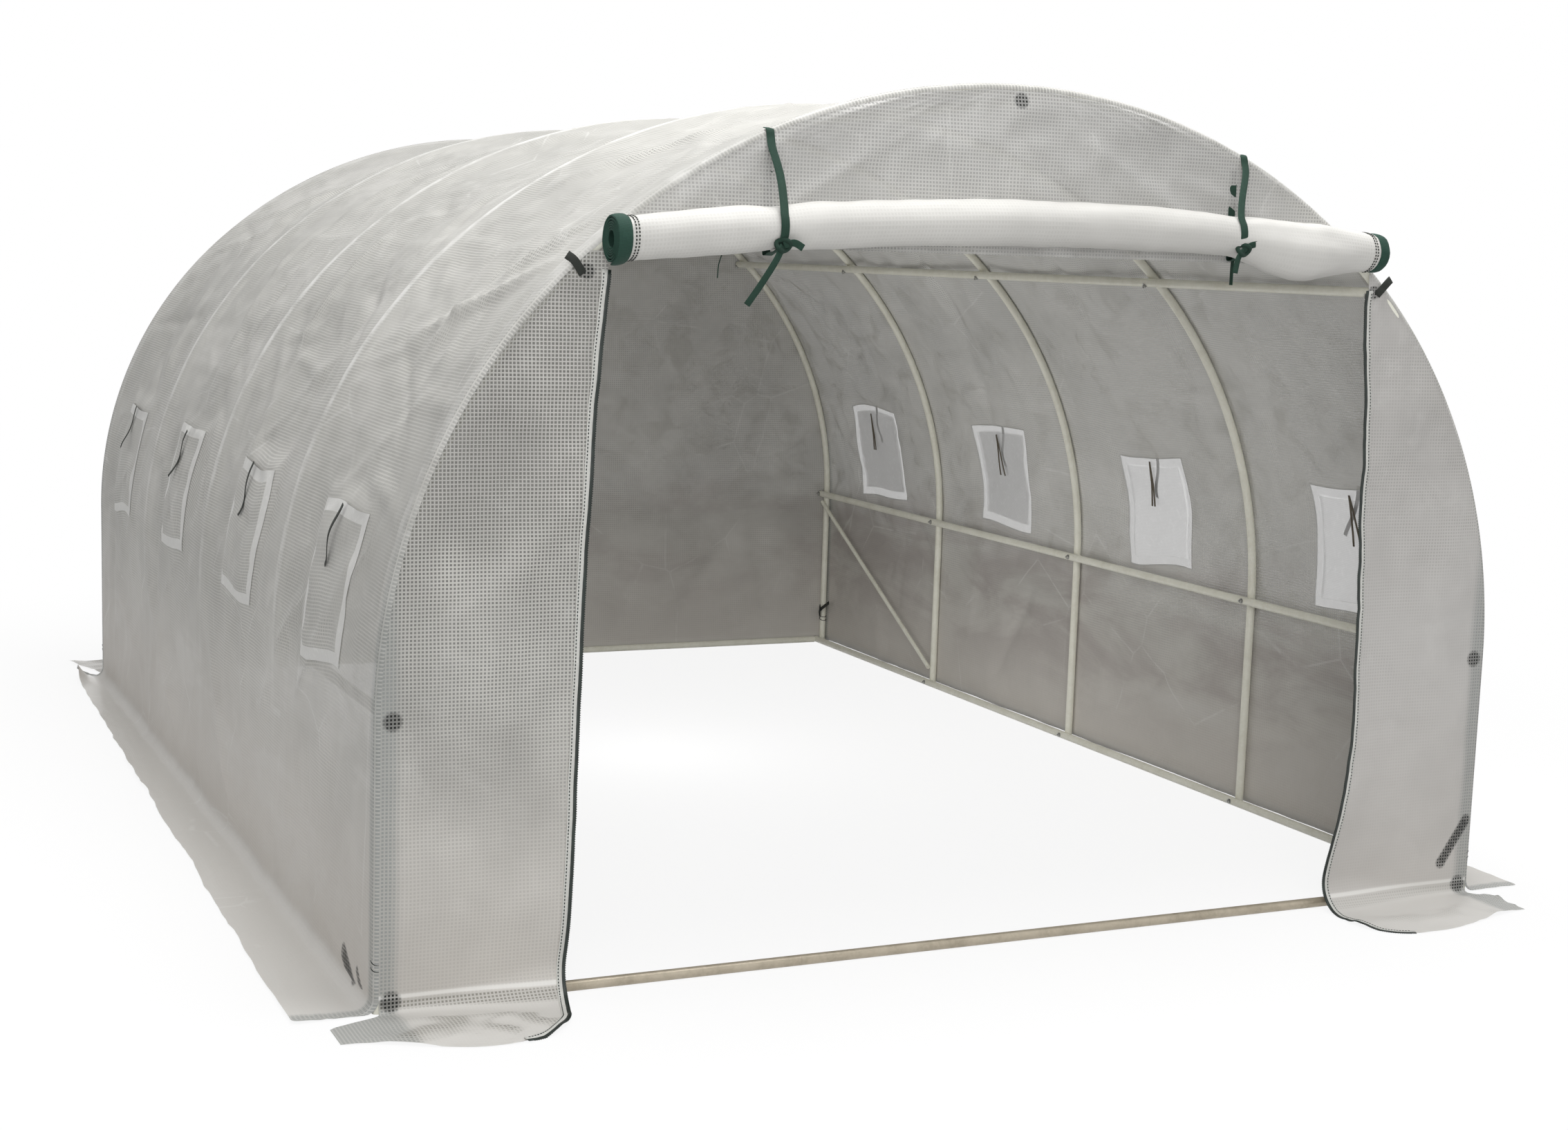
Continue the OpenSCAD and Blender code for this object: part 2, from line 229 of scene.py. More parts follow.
# The large folds of one side, as girth and length at both ends, width and height; the other side has them too
LARGE = [(1.90, -0.24, 1.37, -0.30, 0.024, 0.017), (1.37, -0.30, 1.33, -0.66, 0.016, 0.008),
         (1.47, -0.36, 1.42, -0.70, 0.060, -0.005), (1.83, 0.66, 1.43, 0.57, 0.026, 0.016),
         (2.35, 0.38, 1.85, 0.62, 0.026, 0.015), (1.89, -1.84, 1.66, -1.59, 0.020, 0.015),
         (1.66, -1.59, 1.40, -1.44, 0.022, 0.013), (1.74, -1.95, 1.45, -1.25, 0.018, 0.017),
         (1.30, -0.33, 0.93, -0.38, 0.034, 0.015), (1.06, -1.80, 0.76, -1.64, 0.016, 0.014),
         (0.95, -1.75, 0.50, -1.20, 0.022, 0.016), (0.80, -1.26, 0.42, -0.84, 0.026, 0.017),
         (0.56, 0.97, 0.12, 0.42, 0.040, 0.017), (0.50, -0.14, 0.10, -0.42, 0.030, 0.014),
         (0.42, 1.72, 0.16, 0.92, 0.040, 0.014), (0.43, -1.22, 0.33, -1.28, 0.010, 0.008),
         (2.55, -0.20, 2.10, 0.10, 0.028, 0.014), (2.45, -1.45, 2.00, -1.15, 0.026, 0.014),
         (2.30, 1.25, 1.70, 1.45, 0.030, 0.016), (1.60, 1.50, 1.05, 1.30, 0.032, 0.014),
         (2.70, -0.80, 2.20, -0.70, 0.022, 0.012), (2.10, -0.62, 1.62, -0.82, 0.024, 0.014)]
SHIFT = 0.15
for s0, y0, s1, y1, width, height in LARGE:
    keep_fold((s0, y0, s1, y1), False, width, height)
    keep_fold((s0, SHIFT - y0, s1, SHIFT - y1), True, width, height)

# Straight creases from the way the cover was packed
PACKING = [(g, -1.95, g + rng.uniform(-0.05, 0.05), 1.95, 0.007, 0.0032)
           for g in (1.22, 1.78, 2.34, GIRTH - 2.34, GIRTH - 1.78, GIRTH - 1.22)]
PACKING += [(0.1, y, GIRTH - 0.1, y + rng.uniform(-0.04, 0.04), 0.006, 0.0026)
            for y in (-1.52, -0.45, 0.55, 1.48)]


def drape(s, y):
    """How far the film stands out from its flat place on the hoops, at the girth s and the length y."""
    s, y = paired(s, y)
    g = np.minimum(s, GIRTH - s)
    t = np.clip(y - FRONT, 0, REAR - FRONT)
    bay = np.clip(np.floor(t).astype(int), 0, BAYS - 1)
    t = t - bay
    free = smooth(np.minimum(t, 1 - t), 0.0, 0.10)
    out = -np.interp(g, SAG_AT, SAG_BY) * np.array(BAY_SAG)[bay] * 4 * t * (1 - t)
    rough = 0.0025 + 0.003 * smooth(g, 0.9, 1.5)
    out = out + free * rough * crumple(s * 4.2, y * 3.4, 3)
    out = out + free * (0.0006 + 0.0016 * smooth(g, 1.2, 1.9)) * crumple(s * 11, y * 10, 11)
    out = out + free * 0.006 * smooth(g, 0.62, 0.1) * crumple(s * 1.3 + 7, y * 2.4 + s, 21)
    folds = np.zeros_like(out)
    for f in FOLDS + PACKING:
        folds += fold(s, y, *f)
    out = out + free * folds
    # flatter round the windows
    dy = np.abs(y - (np.floor(y) + 0.5))
    near = smooth(np.maximum(np.abs(g - NET_MID) - 0.19, dy - 0.19), 0.06, -0.01)
    out = out * (1 - 0.6 * near)
    # the film rests on the hoops and on the tubes along the tunnel
    dh = np.abs(y - np.round(y))
    hoop = -FILM + np.sqrt(np.clip(TUBE_R ** 2 - dh ** 2, 0, None)) + 0.0006
    out = np.where(dh < TUBE_R, np.maximum(out, hoop), out)
    for at in (LEG, G2, GIRTH / 2):
        d = np.abs(g - at)
        tube = -FILM - INSET + np.sqrt(np.clip(TUBE_R ** 2 - d ** 2, 0, None)) + 0.0008
        out = np.where(d < TUBE_R, np.maximum(out, tube), out)
    return out


def window_seed(bay, right):
    return 200 + 10 * bay + 5 * right


def warp(s, y):
    """Moves points round a window along the film, so that the window is a little askew."""
    s, y = paired(s, y)
    g, right = np.minimum(s, GIRTH - s), s > GIRTH / 2
    bay = np.clip(np.floor(y - FRONT), 0, BAYS - 1)
    off = y - (FRONT + bay + 0.5)
    outer = NET_W + BORDER
    near = smooth(np.maximum(np.abs(g - NET_MID), np.abs(off)), outer + 0.10, outer + 0.01)
    dg, dy = np.zeros_like(g), np.zeros_like(g)
    for i, k in product(range(BAYS), (False, True)):
        here = (bay == i) & (right == k)
        seed = window_seed(i, k)
        dg = np.where(here, 0.026 * noise(off * 3.2, g * 1.6, seed + 1), dg)
        dy = np.where(here, 0.034 * noise(g * 3.6, off * 1.5, seed + 2), dy)
    return s + np.where(right, -1, 1) * dg * near, y + dy * near


def on_cover(s, y, lift=0.0):
    """Points of the draped film, raised by lift."""
    s, y = paired(s, y)
    x, z, nx, nz = arch(s)
    d = FILM + drape(s, y) + lift
    return np.stack([x + nx * d, y + 0 * d, z + nz * d], -1)


# Meshes
def unit(v):
    v = np.asarray(v, float)
    return v / np.linalg.norm(v, axis=-1, keepdims=True)


def add_object(name, data):
    obj = bpy.data.objects.new(name, data)
    bpy.context.scene.collection.objects.link(obj)
    return obj


def new_object(name, verts, faces, uvs, mat, slot, smooth_faces=True):
    mesh = bpy.data.meshes.new(name)
    mesh.from_pydata([tuple(v) for v in verts], [], [tuple(int(i) for i in f) for f in faces])
    layer = mesh.uv_layers.new(name="film")
    loops = np.empty(len(mesh.loops), np.int32)
    mesh.loops.foreach_get("vertex_index", loops)
    layer.data.foreach_set("uv", np.asarray(uvs, np.float32)[loops].ravel())
    if smooth_faces:
        mesh.shade_smooth()
    mesh.update()
    mesh.materials.append(mat)
    obj = add_object(name, mesh)
    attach(obj, "root")
    return obj


def kept_cells(points, uv, keep=None):
    """Points, faces and film coordinates of a sheet, without the cells that keep leaves out."""
    rows, cols = points.shape[:2]
    index = np.arange(rows * cols).reshape(rows, cols)
    cells = np.stack([index[:-1, :-1], index[:-1, 1:], index[1:, 1:], index[1:, :-1]], -1)
    cells = cells[keep] if keep is not None else cells.reshape(-1, 4)
    used = np.unique(cells)
    fresh = np.full(rows * cols, -1)
    fresh[used] = np.arange(len(used))
    return points.reshape(-1, 3)[used], fresh[cells], uv.reshape(-1, 2)[used]


def grid(name, points, uv, mat, slot, keep=None):
    """A sheet from an array of points."""
    return new_object(name, *kept_cells(points, uv, keep), mat, slot)


def joined(name, parts, mat, slot, smooth_faces=True):
    """One piece from parts of points, faces and film coordinates."""
    verts, faces, uvs, base = [], [], [], 0
    for v, f, u in parts:
        verts.append(np.asarray(v, float))
        faces += [[i + base for i in face] for face in f]
        uvs += list(u)
        base += len(v)
    return new_object(name, np.concatenate(verts), faces, uvs, mat, slot, smooth_faces)


def tube_faces(rings, sides):
    """Faces of a tube of rings, with a cap at each end."""
    here = np.arange(rings * sides).reshape(rings, sides)
    beside = np.roll(here, -1, 1)
    faces = np.stack([here[:-1], beside[:-1], beside[1:], here[1:]], -1).reshape(-1, 4)
    return faces.tolist() + [here[0, ::-1].tolist(), here[-1].tolist()]


def run_length(path):
    """Length along a path up to each of its points."""
    return np.concatenate([[0], np.cumsum(np.linalg.norm(np.diff(path, axis=0), axis=1))])


def band(path, across, normal, size):
    """A flat strap of a width and a thickness: its path, the direction across it and its face normal."""
    path = np.asarray(path, float)
    across, normal = (unit(np.broadcast_to(way, path.shape)) for way in (across, normal))
    w, t = size[0] / 2, size[1] / 2
    half = [(-w, 0), (-w * 0.93, t), (-w * 0.3, t * 1.1), (w * 0.3, t * 1.1), (w * 0.93, t)]
    section = half + [(-a, -b) for a, b in half]
    verts = np.concatenate([p + np.array([a * side + b * face for a, b in section])
                            for p, side, face in zip(path, across, normal)])
    uvs = [(a, length) for length in run_length(path) for a, b in section]
    return verts, tube_faces(len(path), len(section)), uvs


def facing_band(path, normal, size):
    """A flat strap that faces along the normal."""
    return band(path, np.cross(np.gradient(path, axis=0), normal), normal, size)


def turned(path, radius, sides):
    """A round cord along a path."""
    path = np.asarray(path, float)
    tangents = unit(np.gradient(path, axis=0))
    ref = np.array([0, 0, 1.0]) if abs(tangents[0][2]) < 0.9 else np.array([1.0, 0, 0])
    verts, uvs = [], []
    for i, (at, tangent) in enumerate(zip(path, tangents)):
        a = unit(np.cross(tangent, ref))
        b = np.cross(tangent, a)
        ref = np.cross(a, tangent)
        for j in range(sides):
            w = 2 * math.pi * j / sides
            verts.append(at + radius * (math.cos(w) * a + math.sin(w) * b))
            uvs.append((j / sides, i))
    return np.array(verts), tube_faces(len(path), sides), uvs


def box_part(centre, ways, size):
    """A small block with its edges along three directions."""
    half = [way * s / 2 for way, s in zip(ways, size)]
    verts = [centre + i * half[0] + j * half[1] + k * half[2] for i, j, k in product((-1, 1), repeat=3)]
    faces = [[0, 1, 3, 2], [4, 6, 7, 5], [0, 4, 5, 1], [2, 3, 7, 6], [0, 2, 6, 4], [1, 5, 7, 3]]
    return verts, faces, [(0, 0)] * 8


def curve_points(points, count):
    """A smooth line through a few points."""
    points = np.asarray(points, float)
    p = np.vstack([2 * points[0] - points[1], points, 2 * points[-1] - points[-2]])
    out = []
    for u in np.linspace(0, len(points) - 1 - 1e-9, count):
        i, t = int(u), u - int(u)
        a, b, c, d = p[i], p[i + 1], p[i + 2], p[i + 3]
        square, cube = 2 * a - 5 * b + 4 * c - d, 3 * b - a - 3 * c + d
        out.append(0.5 * (2 * b + (c - a) * t + square * t ** 2 + cube * t ** 3))
    return np.array(out)


# Materials
class Value:
    """A socket of a shader tree, whose sums and products are written as such."""

    def __init__(self, nodes, socket):
        self.nodes, self.socket = nodes, socket

    def __add__(self, other):
        return self.nodes.math("ADD", self, other)

    def __sub__(self, other):
        return self.nodes.math("SUBTRACT", self, other)

    def __rsub__(self, other):
        return self.nodes.math("SUBTRACT", other, self)

    def __mul__(self, other):
        return self.nodes.math("MULTIPLY", self, other)

    def __truediv__(self, other):
        return self.nodes.math("DIVIDE", self, other)

    def __abs__(self):
        return self.nodes.math("ABSOLUTE", self)

    def ramp(self, low, high):
        """0 up to low, 1 from high on."""
        return self.nodes.filled("ShaderNodeMapRange", (self, low, high), interpolation_type="SMOOTHSTEP")


class Nodes:
    """Short names for building a tree of shader nodes."""

    def __init__(self, owner, output):
        owner.use_nodes = True
        self.tree = owner.node_tree
        self.tree.nodes.clear()
        self.out = self.new(output)

    def new(self, kind, **settings):
        n = self.tree.nodes.new(kind)
        for k, v in settings.items():
            setattr(n, k, v)
        return n

    def put(self, value, socket):
        if isinstance(value, Value):
            self.tree.links.new(value.socket, socket)
        else:
            socket.default_value = value

    def named(self, kind, values, output=0, **settings):
        """An output of a new node, with inputs given by name or number."""
        n = self.new(kind, **settings)
        for k, v in values.items():
            self.put(v, n.inputs[k])
        return Value(self, n.outputs[output])

    def filled(self, kind, values, output=0, **settings):
        """An output of a new node, with its first inputs given."""
        return self.named(kind, dict(enumerate(values)), output, **settings)

    def finish(self, shader):
        self.put(shader, self.out.inputs[0])

    def math(self, op, *values):
        return self.filled("ShaderNodeMath", values, operation=op)

    def noise(self, at, scale, detail=3, rough=0.55, distort=0.0):
        return self.named("ShaderNodeTexNoise", {"Vector": at, "Scale": scale, "Detail": detail,
                                                 "Roughness": rough, "Distortion": distort})

    def mix(self, fac, a, b):
        a, b = ((*c, 1) if isinstance(c, tuple) else c for c in (a, b))
        return self.named("ShaderNodeMix", {0: fac, 6: a, 7: b}, 2, data_type="RGBA")

    def bump(self, height, distance, strength, **normal):
        return self.named("ShaderNodeBump", {"Height": height, "Distance": distance, "Strength": strength,
                                             **normal})

    def xyz(self, vector):
        return [self.filled("ShaderNodeSeparateXYZ", (vector,), i) for i in range(3)]

    def place(self):
        return self.filled("ShaderNodeTexCoord", (), "Object")

    def shader(self, kind, grey, *strength):
        return self.filled(kind, ((grey, grey, grey, 1), *strength))

    def mix_shader(self, fac, a, b):
        return self.filled("ShaderNodeMixShader", (fac, a, b))

    def seen(self):
        """1 for the rays that look at the background itself, 0 for those that carry its light."""
        camera, glossy, through = (self.filled("ShaderNodeLightPath", (), f"Is {kind} Ray")
                                   for kind in ("Camera", "Glossy", "Transmission"))
        return self.math("MAXIMUM", camera, self.math("MAXIMUM", glossy, through))


class Surface(Nodes):
    """A material with one principled shader."""

    def __init__(self, name):
        self.mat = bpy.data.materials.new(name)
        super().__init__(self.mat, "ShaderNodeOutputMaterial")

    def set(self, **values):
        values = {k.replace("_", " "): v for k, v in values.items()}
        self.finish(self.named("ShaderNodeBsdfPrincipled", values))
        return self.mat

    def uv(self):
        return self.xyz(self.filled("ShaderNodeUVMap", (), uv_map="film"))[:2]

    def threads(self, value, pitch, width):
        """1 on the threads of one direction, 0 between them."""
        off = abs(self.math("FRACT", value / pitch) - 0.5)
        return off.ramp(0.5 - width / pitch * 0.75, 0.5 - width / pitch * 0.25)


GRID_PITCH, THREAD_W = 0.0084, 0.0036
# pale tint of painted highlights, on crease lines and over the hoops
HIGHLIGHT_TINT = (0.84, 0.835, 0.81)
# dark tint of the painted shade in the low corners of the film
CORNER_SHADE_TINT = (0.30, 0.315, 0.305)
LOW_TINT = (0.70, 0.66, 0.615)
LYING_TINT = (0.70, 0.685, 0.655)


class Film(Surface):
    """Woven film, whose colour and alpha are painted step by step."""

    def __init__(self, name, haze, veil):
        super().__init__(name)
        self.u, self.v = self.uv()
        self.at = self.place()
        self.x, _, self.z = self.xyz(self.at)
        self.blotch = self.noise(self.at, 9.0, 4, 0.65, 0.6)
        self.woven = self.math("MAXIMUM", *(self.threads(t, GRID_PITCH, THREAD_W) for t in (self.u, self.v)))
        self.weave = self.woven
        self.dull(self.noise(self.at, 2.3, 3, 0.6, 0.8).ramp(0.42, 0.66) * haze)
        if veil:
            self.dull(self.z.ramp(1.0, 0.25) * 0.62)

    def dull(self, amount):
        """Makes the grid fainter, most of the way to thread."""
        self.weave = self.weave * (1.0 - amount) + amount * 0.8

    def paint(self, amount, tint):
        self.colour = self.mix(amount, self.colour, tint)

    def thicken(self, amount):
        self.alpha = self.math("MINIMUM", self.alpha + amount, 1.0)

    def mottle(self, painted_mottle, hoops):
        """Painted shade and painted reflections: dark patches low down and pale patches, drawn out along the
        tunnel; on the cover the dark ones are on the right.
        """
        drawn_out = self.filled("ShaderNodeVectorMath", (self.at, (1.0, 0.6, 2.2)), operation="MULTIPLY")
        mottle_noise = self.noise(drawn_out, 2.3, 5, 0.62, 0.5)
        below = self.z.ramp(0.85, 0.55) * self.z.ramp(0.05, 0.42)
        if hoops:
            below = below * self.x.ramp(-0.4, 0.4)
        self.paint(mottle_noise.ramp(0.46, 0.66) * below * (0.55 * painted_mottle), (0.37, 0.325, 0.315))
        self.paint(mottle_noise.ramp(0.50, 0.32) * (0.35 * painted_mottle), LYING_TINT)

    def paint_crease_glints(self, crease_glints):
        """Painted highlights: thin pale lines in patches, as glints on the crinkled film."""
        edges = self.named("ShaderNodeTexVoronoi", {"Vector": self.at, "Scale": 2.6}, "Distance",
                           feature="DISTANCE_TO_EDGE")
        patch = self.noise(self.at, 3.1, 4, 0.7).ramp(0.50, 0.62)
        self.paint(edges.ramp(0.012, 0.002) * patch * crease_glints, HIGHLIGHT_TINT)

    def paint_corner_shade(self, distance, start, end):
        """Painted shade: darker cells in the film's low corner, where the leg stands behind it."""
        corner = abs(distance).ramp(start, end) * self.z.ramp(1.2, 0.7)
        self.paint(corner * (0.9 - self.woven * 0.45), CORNER_SHADE_TINT)

    def veil_foot(self, veil):
        """Thicker film lower down, with painted shade by the leg, a painted highlight for the light on the
        sill behind it, and the sill painted into it as a dark band of shade.
        """
        self.thicken(self.z.ramp(1.25, 0.62) * veil)
        self.paint_corner_shade(self.x, HALF - 0.050, HALF - 0.020)
        # painted highlight along the top of the sill behind the film
        self.paint(self.z.ramp(0.030, 0.034) * self.z.ramp(0.044, 0.038) * 0.7, (0.92, 0.91, 0.88))
        # painted shade: the sill behind the film as a dark band
        sill = self.z.ramp(0.006, 0.012) * self.z.ramp(0.031, 0.026)
        self.paint(sill * (1.4 * veil - self.woven * veil), (0.22, 0.21, 0.18))

    def show_spots(self, spots, where):
        for spot, size in spots:
            gap = self.filled("ShaderNodeVectorMath", (where, spot), "Value", operation="DISTANCE")
            near = gap.ramp(size, size * 0.6) * (1.0 - self.woven * 0.55)
            self.paint(near, (0.012, 0.013, 0.012))
            self.thicken(near)

    def light_and_shade_on_hoops(self):
        """Pale where the film lies on a hoop, a painted highlight over the pale tube that grows higher up,
        and pale at the end seams, where the film is double; painted shade in the low corners at the ends.
        """
        to_hoop, to_end = abs(self.math("FRACT", self.v + 0.5) - 0.5), abs(self.v)
        high = self.z.ramp(0.35, 1.35)
        wear_and_glint = self.noise(self.at, 7.0, 4, 0.75).ramp(0.36, 0.66) + 0.15
        wide = self.noise(self.at, 5.0, 3, 0.6) * 0.05 + 0.005
        self.paint_corner_shade(self.v, 1.965, 1.990)
        touch = to_hoop.ramp(wide, 0.004) * wear_and_glint * (high * 0.9 + 0.1) * to_end.ramp(1.96, 1.92)
        seam = to_end.ramp(1.944, 1.948) * wear_and_glint * high
        pale = self.math("MINIMUM", touch + seam * 0.3, 1.0)
        self.paint(pale * 0.75, HIGHLIGHT_TINT)
        self.alpha = self.alpha + pale * 0.3


def film_material(name, cell, thread, clear, solid, ground_tint=1.0, crinkle=1.0, haze=0.8, hoops=False,
                  veil=0.0, crease_glints=0.0, painted_mottle=0.0, spots=()):
    """Woven film: pale threads over clearer cells, small crinkles, a paler, warmer tint near the ground.

    Where it lies on a hoop it is paler, partly as a painted highlight, and it is double at the end seams.
    Lower down a veil makes its cells less clear, but dark things that touch it at the spots still show
    through."""
    m = Film(name, haze, veil)
    m.colour = m.mix(m.weave, cell, thread)
    m.paint(m.noise(m.at, 1.7, 4, 0.6).ramp(0.38, 0.66) * 0.34, tuple(0.78 * c for c in cell))
    m.paint(m.blotch.ramp(0.52, 0.75) * 0.12, (0.78, 0.775, 0.75))
    # paler and warmer towards the ground
    low = m.z.ramp(0.75, 0.0) * (0.55 * ground_tint)
    m.paint(low, LOW_TINT)
    # painted shade and painted reflections in patches
    if painted_mottle:
        m.mottle(painted_mottle, hoops)
    if ground_tint:
        m.paint(m.z.ramp(0.05, 0.012) * 0.85, LYING_TINT)
    # painted highlights along thin crease lines
    if crease_glints:
        m.paint_crease_glints(crease_glints)
    m.alpha = m.weave * (solid - clear) + clear + m.blotch.ramp(0.45, 0.8) * 0.08 + low * 0.55
    if veil:
        m.veil_foot(veil)
    m.show_spots(spots, m.filled("ShaderNodeCombineXYZ", (m.u, m.v)) if hoops else m.at)
    # painted highlights over the hoops and painted shade in the end corners
    if hoops:
        m.light_and_shade_on_hoops()
    normal = m.bump(m.noise(m.at, 38.0, 2, 0.5), 0.0014, 0.14 * crinkle)
    if hoops:
        normal = m.bump(m.blotch, 0.012, 0.30, Normal=normal)
    normal = m.bump(m.weave, 0.0004, 0.5, Normal=normal)
    m.mat.use_transparent_shadow = False
    return m.set(Base_Color=m.colour, Alpha=m.alpha, Roughness=m.blotch * 0.20 + 0.40, Normal=normal,
                 IOR=1.45, Specular_IOR_Level=0.2)


def cloth_material(name, dark, light, pitch, width, rough=0.85, alpha=1.0):
    """Plain woven tape or fabric."""
    m = Surface(name)
    u, v = m.uv()
    weave = (m.threads(u, pitch, width) + m.threads(v, pitch * 0.8, width)) * 0.5
    wear_and_glint = m.noise(m.place(), 60.0, 4, 0.6).ramp(0.5, 0.8) * 0.4
    colour = m.mix(wear_and_glint, m.mix(weave, dark, light), tuple(min(1, 1.3 * c + 0.01) for c in light))
    m.mat.use_transparent_shadow = False
    return m.set(Base_Color=colour, Roughness=rough, Normal=m.bump(weave, 0.0004, 0.8), Alpha=alpha)


def tube_material(name, base, dull, metal):
    """Thinly coated galvanised tube with faint spangle, streaks and scuffs."""
    m = Surface(name)
    place = m.place()
    streak = m.noise(place, 12.0, 5, 0.7)
    spangle = m.noise(place, 85.0, 2, 0.5, 0.4).ramp(0.45, 0.7) * 0.25
    colour = m.mix(streak.ramp(0.35, 0.7), base, dull)
    colour = m.mix(spangle, colour, tuple(min(1, 1.12 * c) for c in base))
    scuffs = m.bump(m.noise(place, 260.0, 2, 0.6, 2.0), 0.0002, 0.25)
    return m.set(Base_Color=colour, Metallic=metal, Roughness=streak * 0.25 + 0.24, Normal=scuffs)


def plastic_material(name, dark, light, rough):
    m = Surface(name)
    place = m.place()
    grain = m.noise(place, 400.0, 3, 0.6)
    colour = m.mix(m.noise(place, 40.0, 3).ramp(0.35, 0.7), dark, light)
    return m.set(Base_Color=colour, Roughness=grain * 0.2 + (rough - 0.1), Normal=m.bump(grain, 0.0002, 0.3))


# Places where plugs and the right tie touch the end films, and the left tie the wall, by girth and length
SPOTS = [((0, PANEL_Y, CROWN - INSET), 0.024)]
for sx in (-1, 1):
    SPOTS += [((sx * (HALF - INSET), PANEL_Y, LEG), 0.026), ((sx * (HALF - INSET), PANEL_Y, 0.026), 0.028),
              ((sx * PURLIN_X, PANEL_Y, PURLIN_Z), 0.022)]
SPOTS += [((1.475 - 0.075 * t, PANEL_Y, 0.20 - 0.11 * t), 0.020) for t in np.linspace(0, 1, 9)]
WALL_SPOTS = [((0.066 - 0.060 * t, -1.765 - 0.090 * t, 0.0), 0.026) for t in np.linspace(0, 1, 7)]
WALL_SPOTS += [((0.058 - 0.030 * t, -1.880 - 0.040 * t, 0.0), 0.014) for t in np.linspace(0, 1, 4)]

THREAD = (0.625, 0.615, 0.58)
COVER_MAT = film_material("cover_film", (0.405, 0.402, 0.378), THREAD, 0.82, 0.95, ground_tint=1.4, hoops=True,
                          crease_glints=0.3, painted_mottle=1.0, spots=WALL_SPOTS)
# the end films are copies of one film in painted tones: the left front one has dark cells as painted shade of
# the tunnel behind it, the right front and top ones are painted lighter for the light on them, and the rear
# one is painted darker as shade
SHADED_LEFT_FILM = film_material("left_end_film", (0.19, 0.19, 0.18), THREAD, 0.40, 0.90, haze=0.15, veil=0.6,
                          spots=SPOTS)
LIT_RIGHT_FILM = film_material("right_end_film", (0.505, 0.49, 0.47), (0.60, 0.585, 0.565), 0.84, 0.94,
                           ground_tint=0.6, veil=0.2, spots=SPOTS)
LIT_TOP_FILM = film_material("top_end_film", (0.50, 0.495, 0.48), (0.66, 0.655, 0.635), 0.62, 0.90, haze=0.4,
                         crease_glints=0.25, spots=SPOTS)
SHADED_REAR_MAT = film_material("rear_film", (0.38, 0.37, 0.35), (0.58, 0.57, 0.54), 0.93, 0.98, crease_glints=0.18,
                         painted_mottle=0.6)
ROLL_MAT = film_material("rolled_film", (0.65, 0.64, 0.61), (0.71, 0.70, 0.67), 1.0, 1.0, ground_tint=0.0,
                         crinkle=0.5)
FLAP_MAT = film_material("window_film", (0.46, 0.457, 0.43), (0.655, 0.645, 0.61), 0.82, 0.95)
# lighter copies of the window film for the right side, painted light from behind
LIT_FLAP_MAT = film_material("lit_window_film", (0.60, 0.60, 0.585), (0.76, 0.755, 0.735), 0.55, 0.75)
BRIGHT_MAT = film_material("backlit_thin_window_film", (0.70, 0.70, 0.70), (0.84, 0.84, 0.84), 0.12, 0.25)
HEM_MAT = cloth_material("white_hem", (0.68, 0.675, 0.65), (0.77, 0.765, 0.74), 0.0022, 0.0009, 0.5)
BORDER_MAT = cloth_material("white_border", (0.78, 0.78, 0.78), (0.88, 0.88, 0.88), 0.0022, 0.0009, 0.7, 0.45)
NET_MAT = cloth_material("net", (0.62, 0.62, 0.63), (0.88, 0.88, 0.88), 0.0030, 0.0014, 0.8, 0.62)
STRAP_MAT = cloth_material("green_strap", (0.004, 0.018, 0.011), (0.012, 0.052, 0.032), 0.0024, 0.0012)
EDGE_MAT = cloth_material("edge_tape", (0.005, 0.026, 0.017), (0.014, 0.062, 0.042), 0.0020, 0.0010)
TIE_MAT = cloth_material("dark_tie", (0.010, 0.012, 0.010), (0.030, 0.034, 0.028), 0.0022, 0.0011)
INNER_TIE_MAT = cloth_material("brown_tie", (0.075, 0.062, 0.045), (0.16, 0.135, 0.10), 0.0022, 0.0011)
TAPE_MAT = cloth_material("zip_tape", (0.58, 0.58, 0.55), (0.74, 0.74, 0.70), 0.0026, 0.0012, 0.75)
ZIP_MAT = plastic_material("zip_teeth", (0.006, 0.012, 0.009), (0.016, 0.026, 0.021), 0.45)
PLUG_MAT = plastic_material("black_plug", (0.010, 0.010, 0.010), (0.028, 0.028, 0.028), 0.55)
TUBE_MAT = tube_material("coated_tube", (0.94, 0.93, 0.82), (0.84, 0.825, 0.71), 0.0)
SILL_MAT = tube_material("sill_tube", (0.52, 0.46, 0.36), (0.38, 0.33, 0.25), 0.35)
BOLT_MAT = tube_material("bolt_steel", (0.50, 0.50, 0.48), (0.34, 0.34, 0.33), 0.85)


def dress(mat, *nodes):
    for n in nodes:
        o = bpy.data.objects[n]
        o.data.materials.clear()
        o.data.materials.append(mat)


HOOPS = [f"hoop_{i + 1}" for i in range(BAYS + 1)]
RAILS = ["ridge_purlin", *(f"{label}_{rail}" for rail in ("upper_purlin", "side_rail", "ground_rail")
                           for side, label in SIDES)]
dress(TUBE_MAT, *HOOPS, *RAILS, "left_brace", "right_brace", "rear_sill")
dress(SILL_MAT, "front_sill")
dress(PLUG_MAT, "tube_end_plugs")

# The main sheet of the cover, with cuts for the windows and a bend at the foot of each wall
STEP = 0.0175
CUT_LAP = 0.027
CUT_S0, CUT_S1, CUT_W = NET_S0 - CUT_LAP, NET_S1 + CUT_LAP, NET_W + CUT_LAP
FOOT_BEND = 0.032
FOOT_Z = 0.0015
FOOT_S = FOOT_BEND + FOOT_Z


def spaced(stops):
    """Values from the first stop to the last, with every stop among them."""
    out = [stops[0]]
    for a, b in zip(stops, stops[1:]):
        n = max(1, round((b - a) / STEP))
        out += list(a + (b - a) * (np.arange(n) + 1) / n)
    return np.array(out)


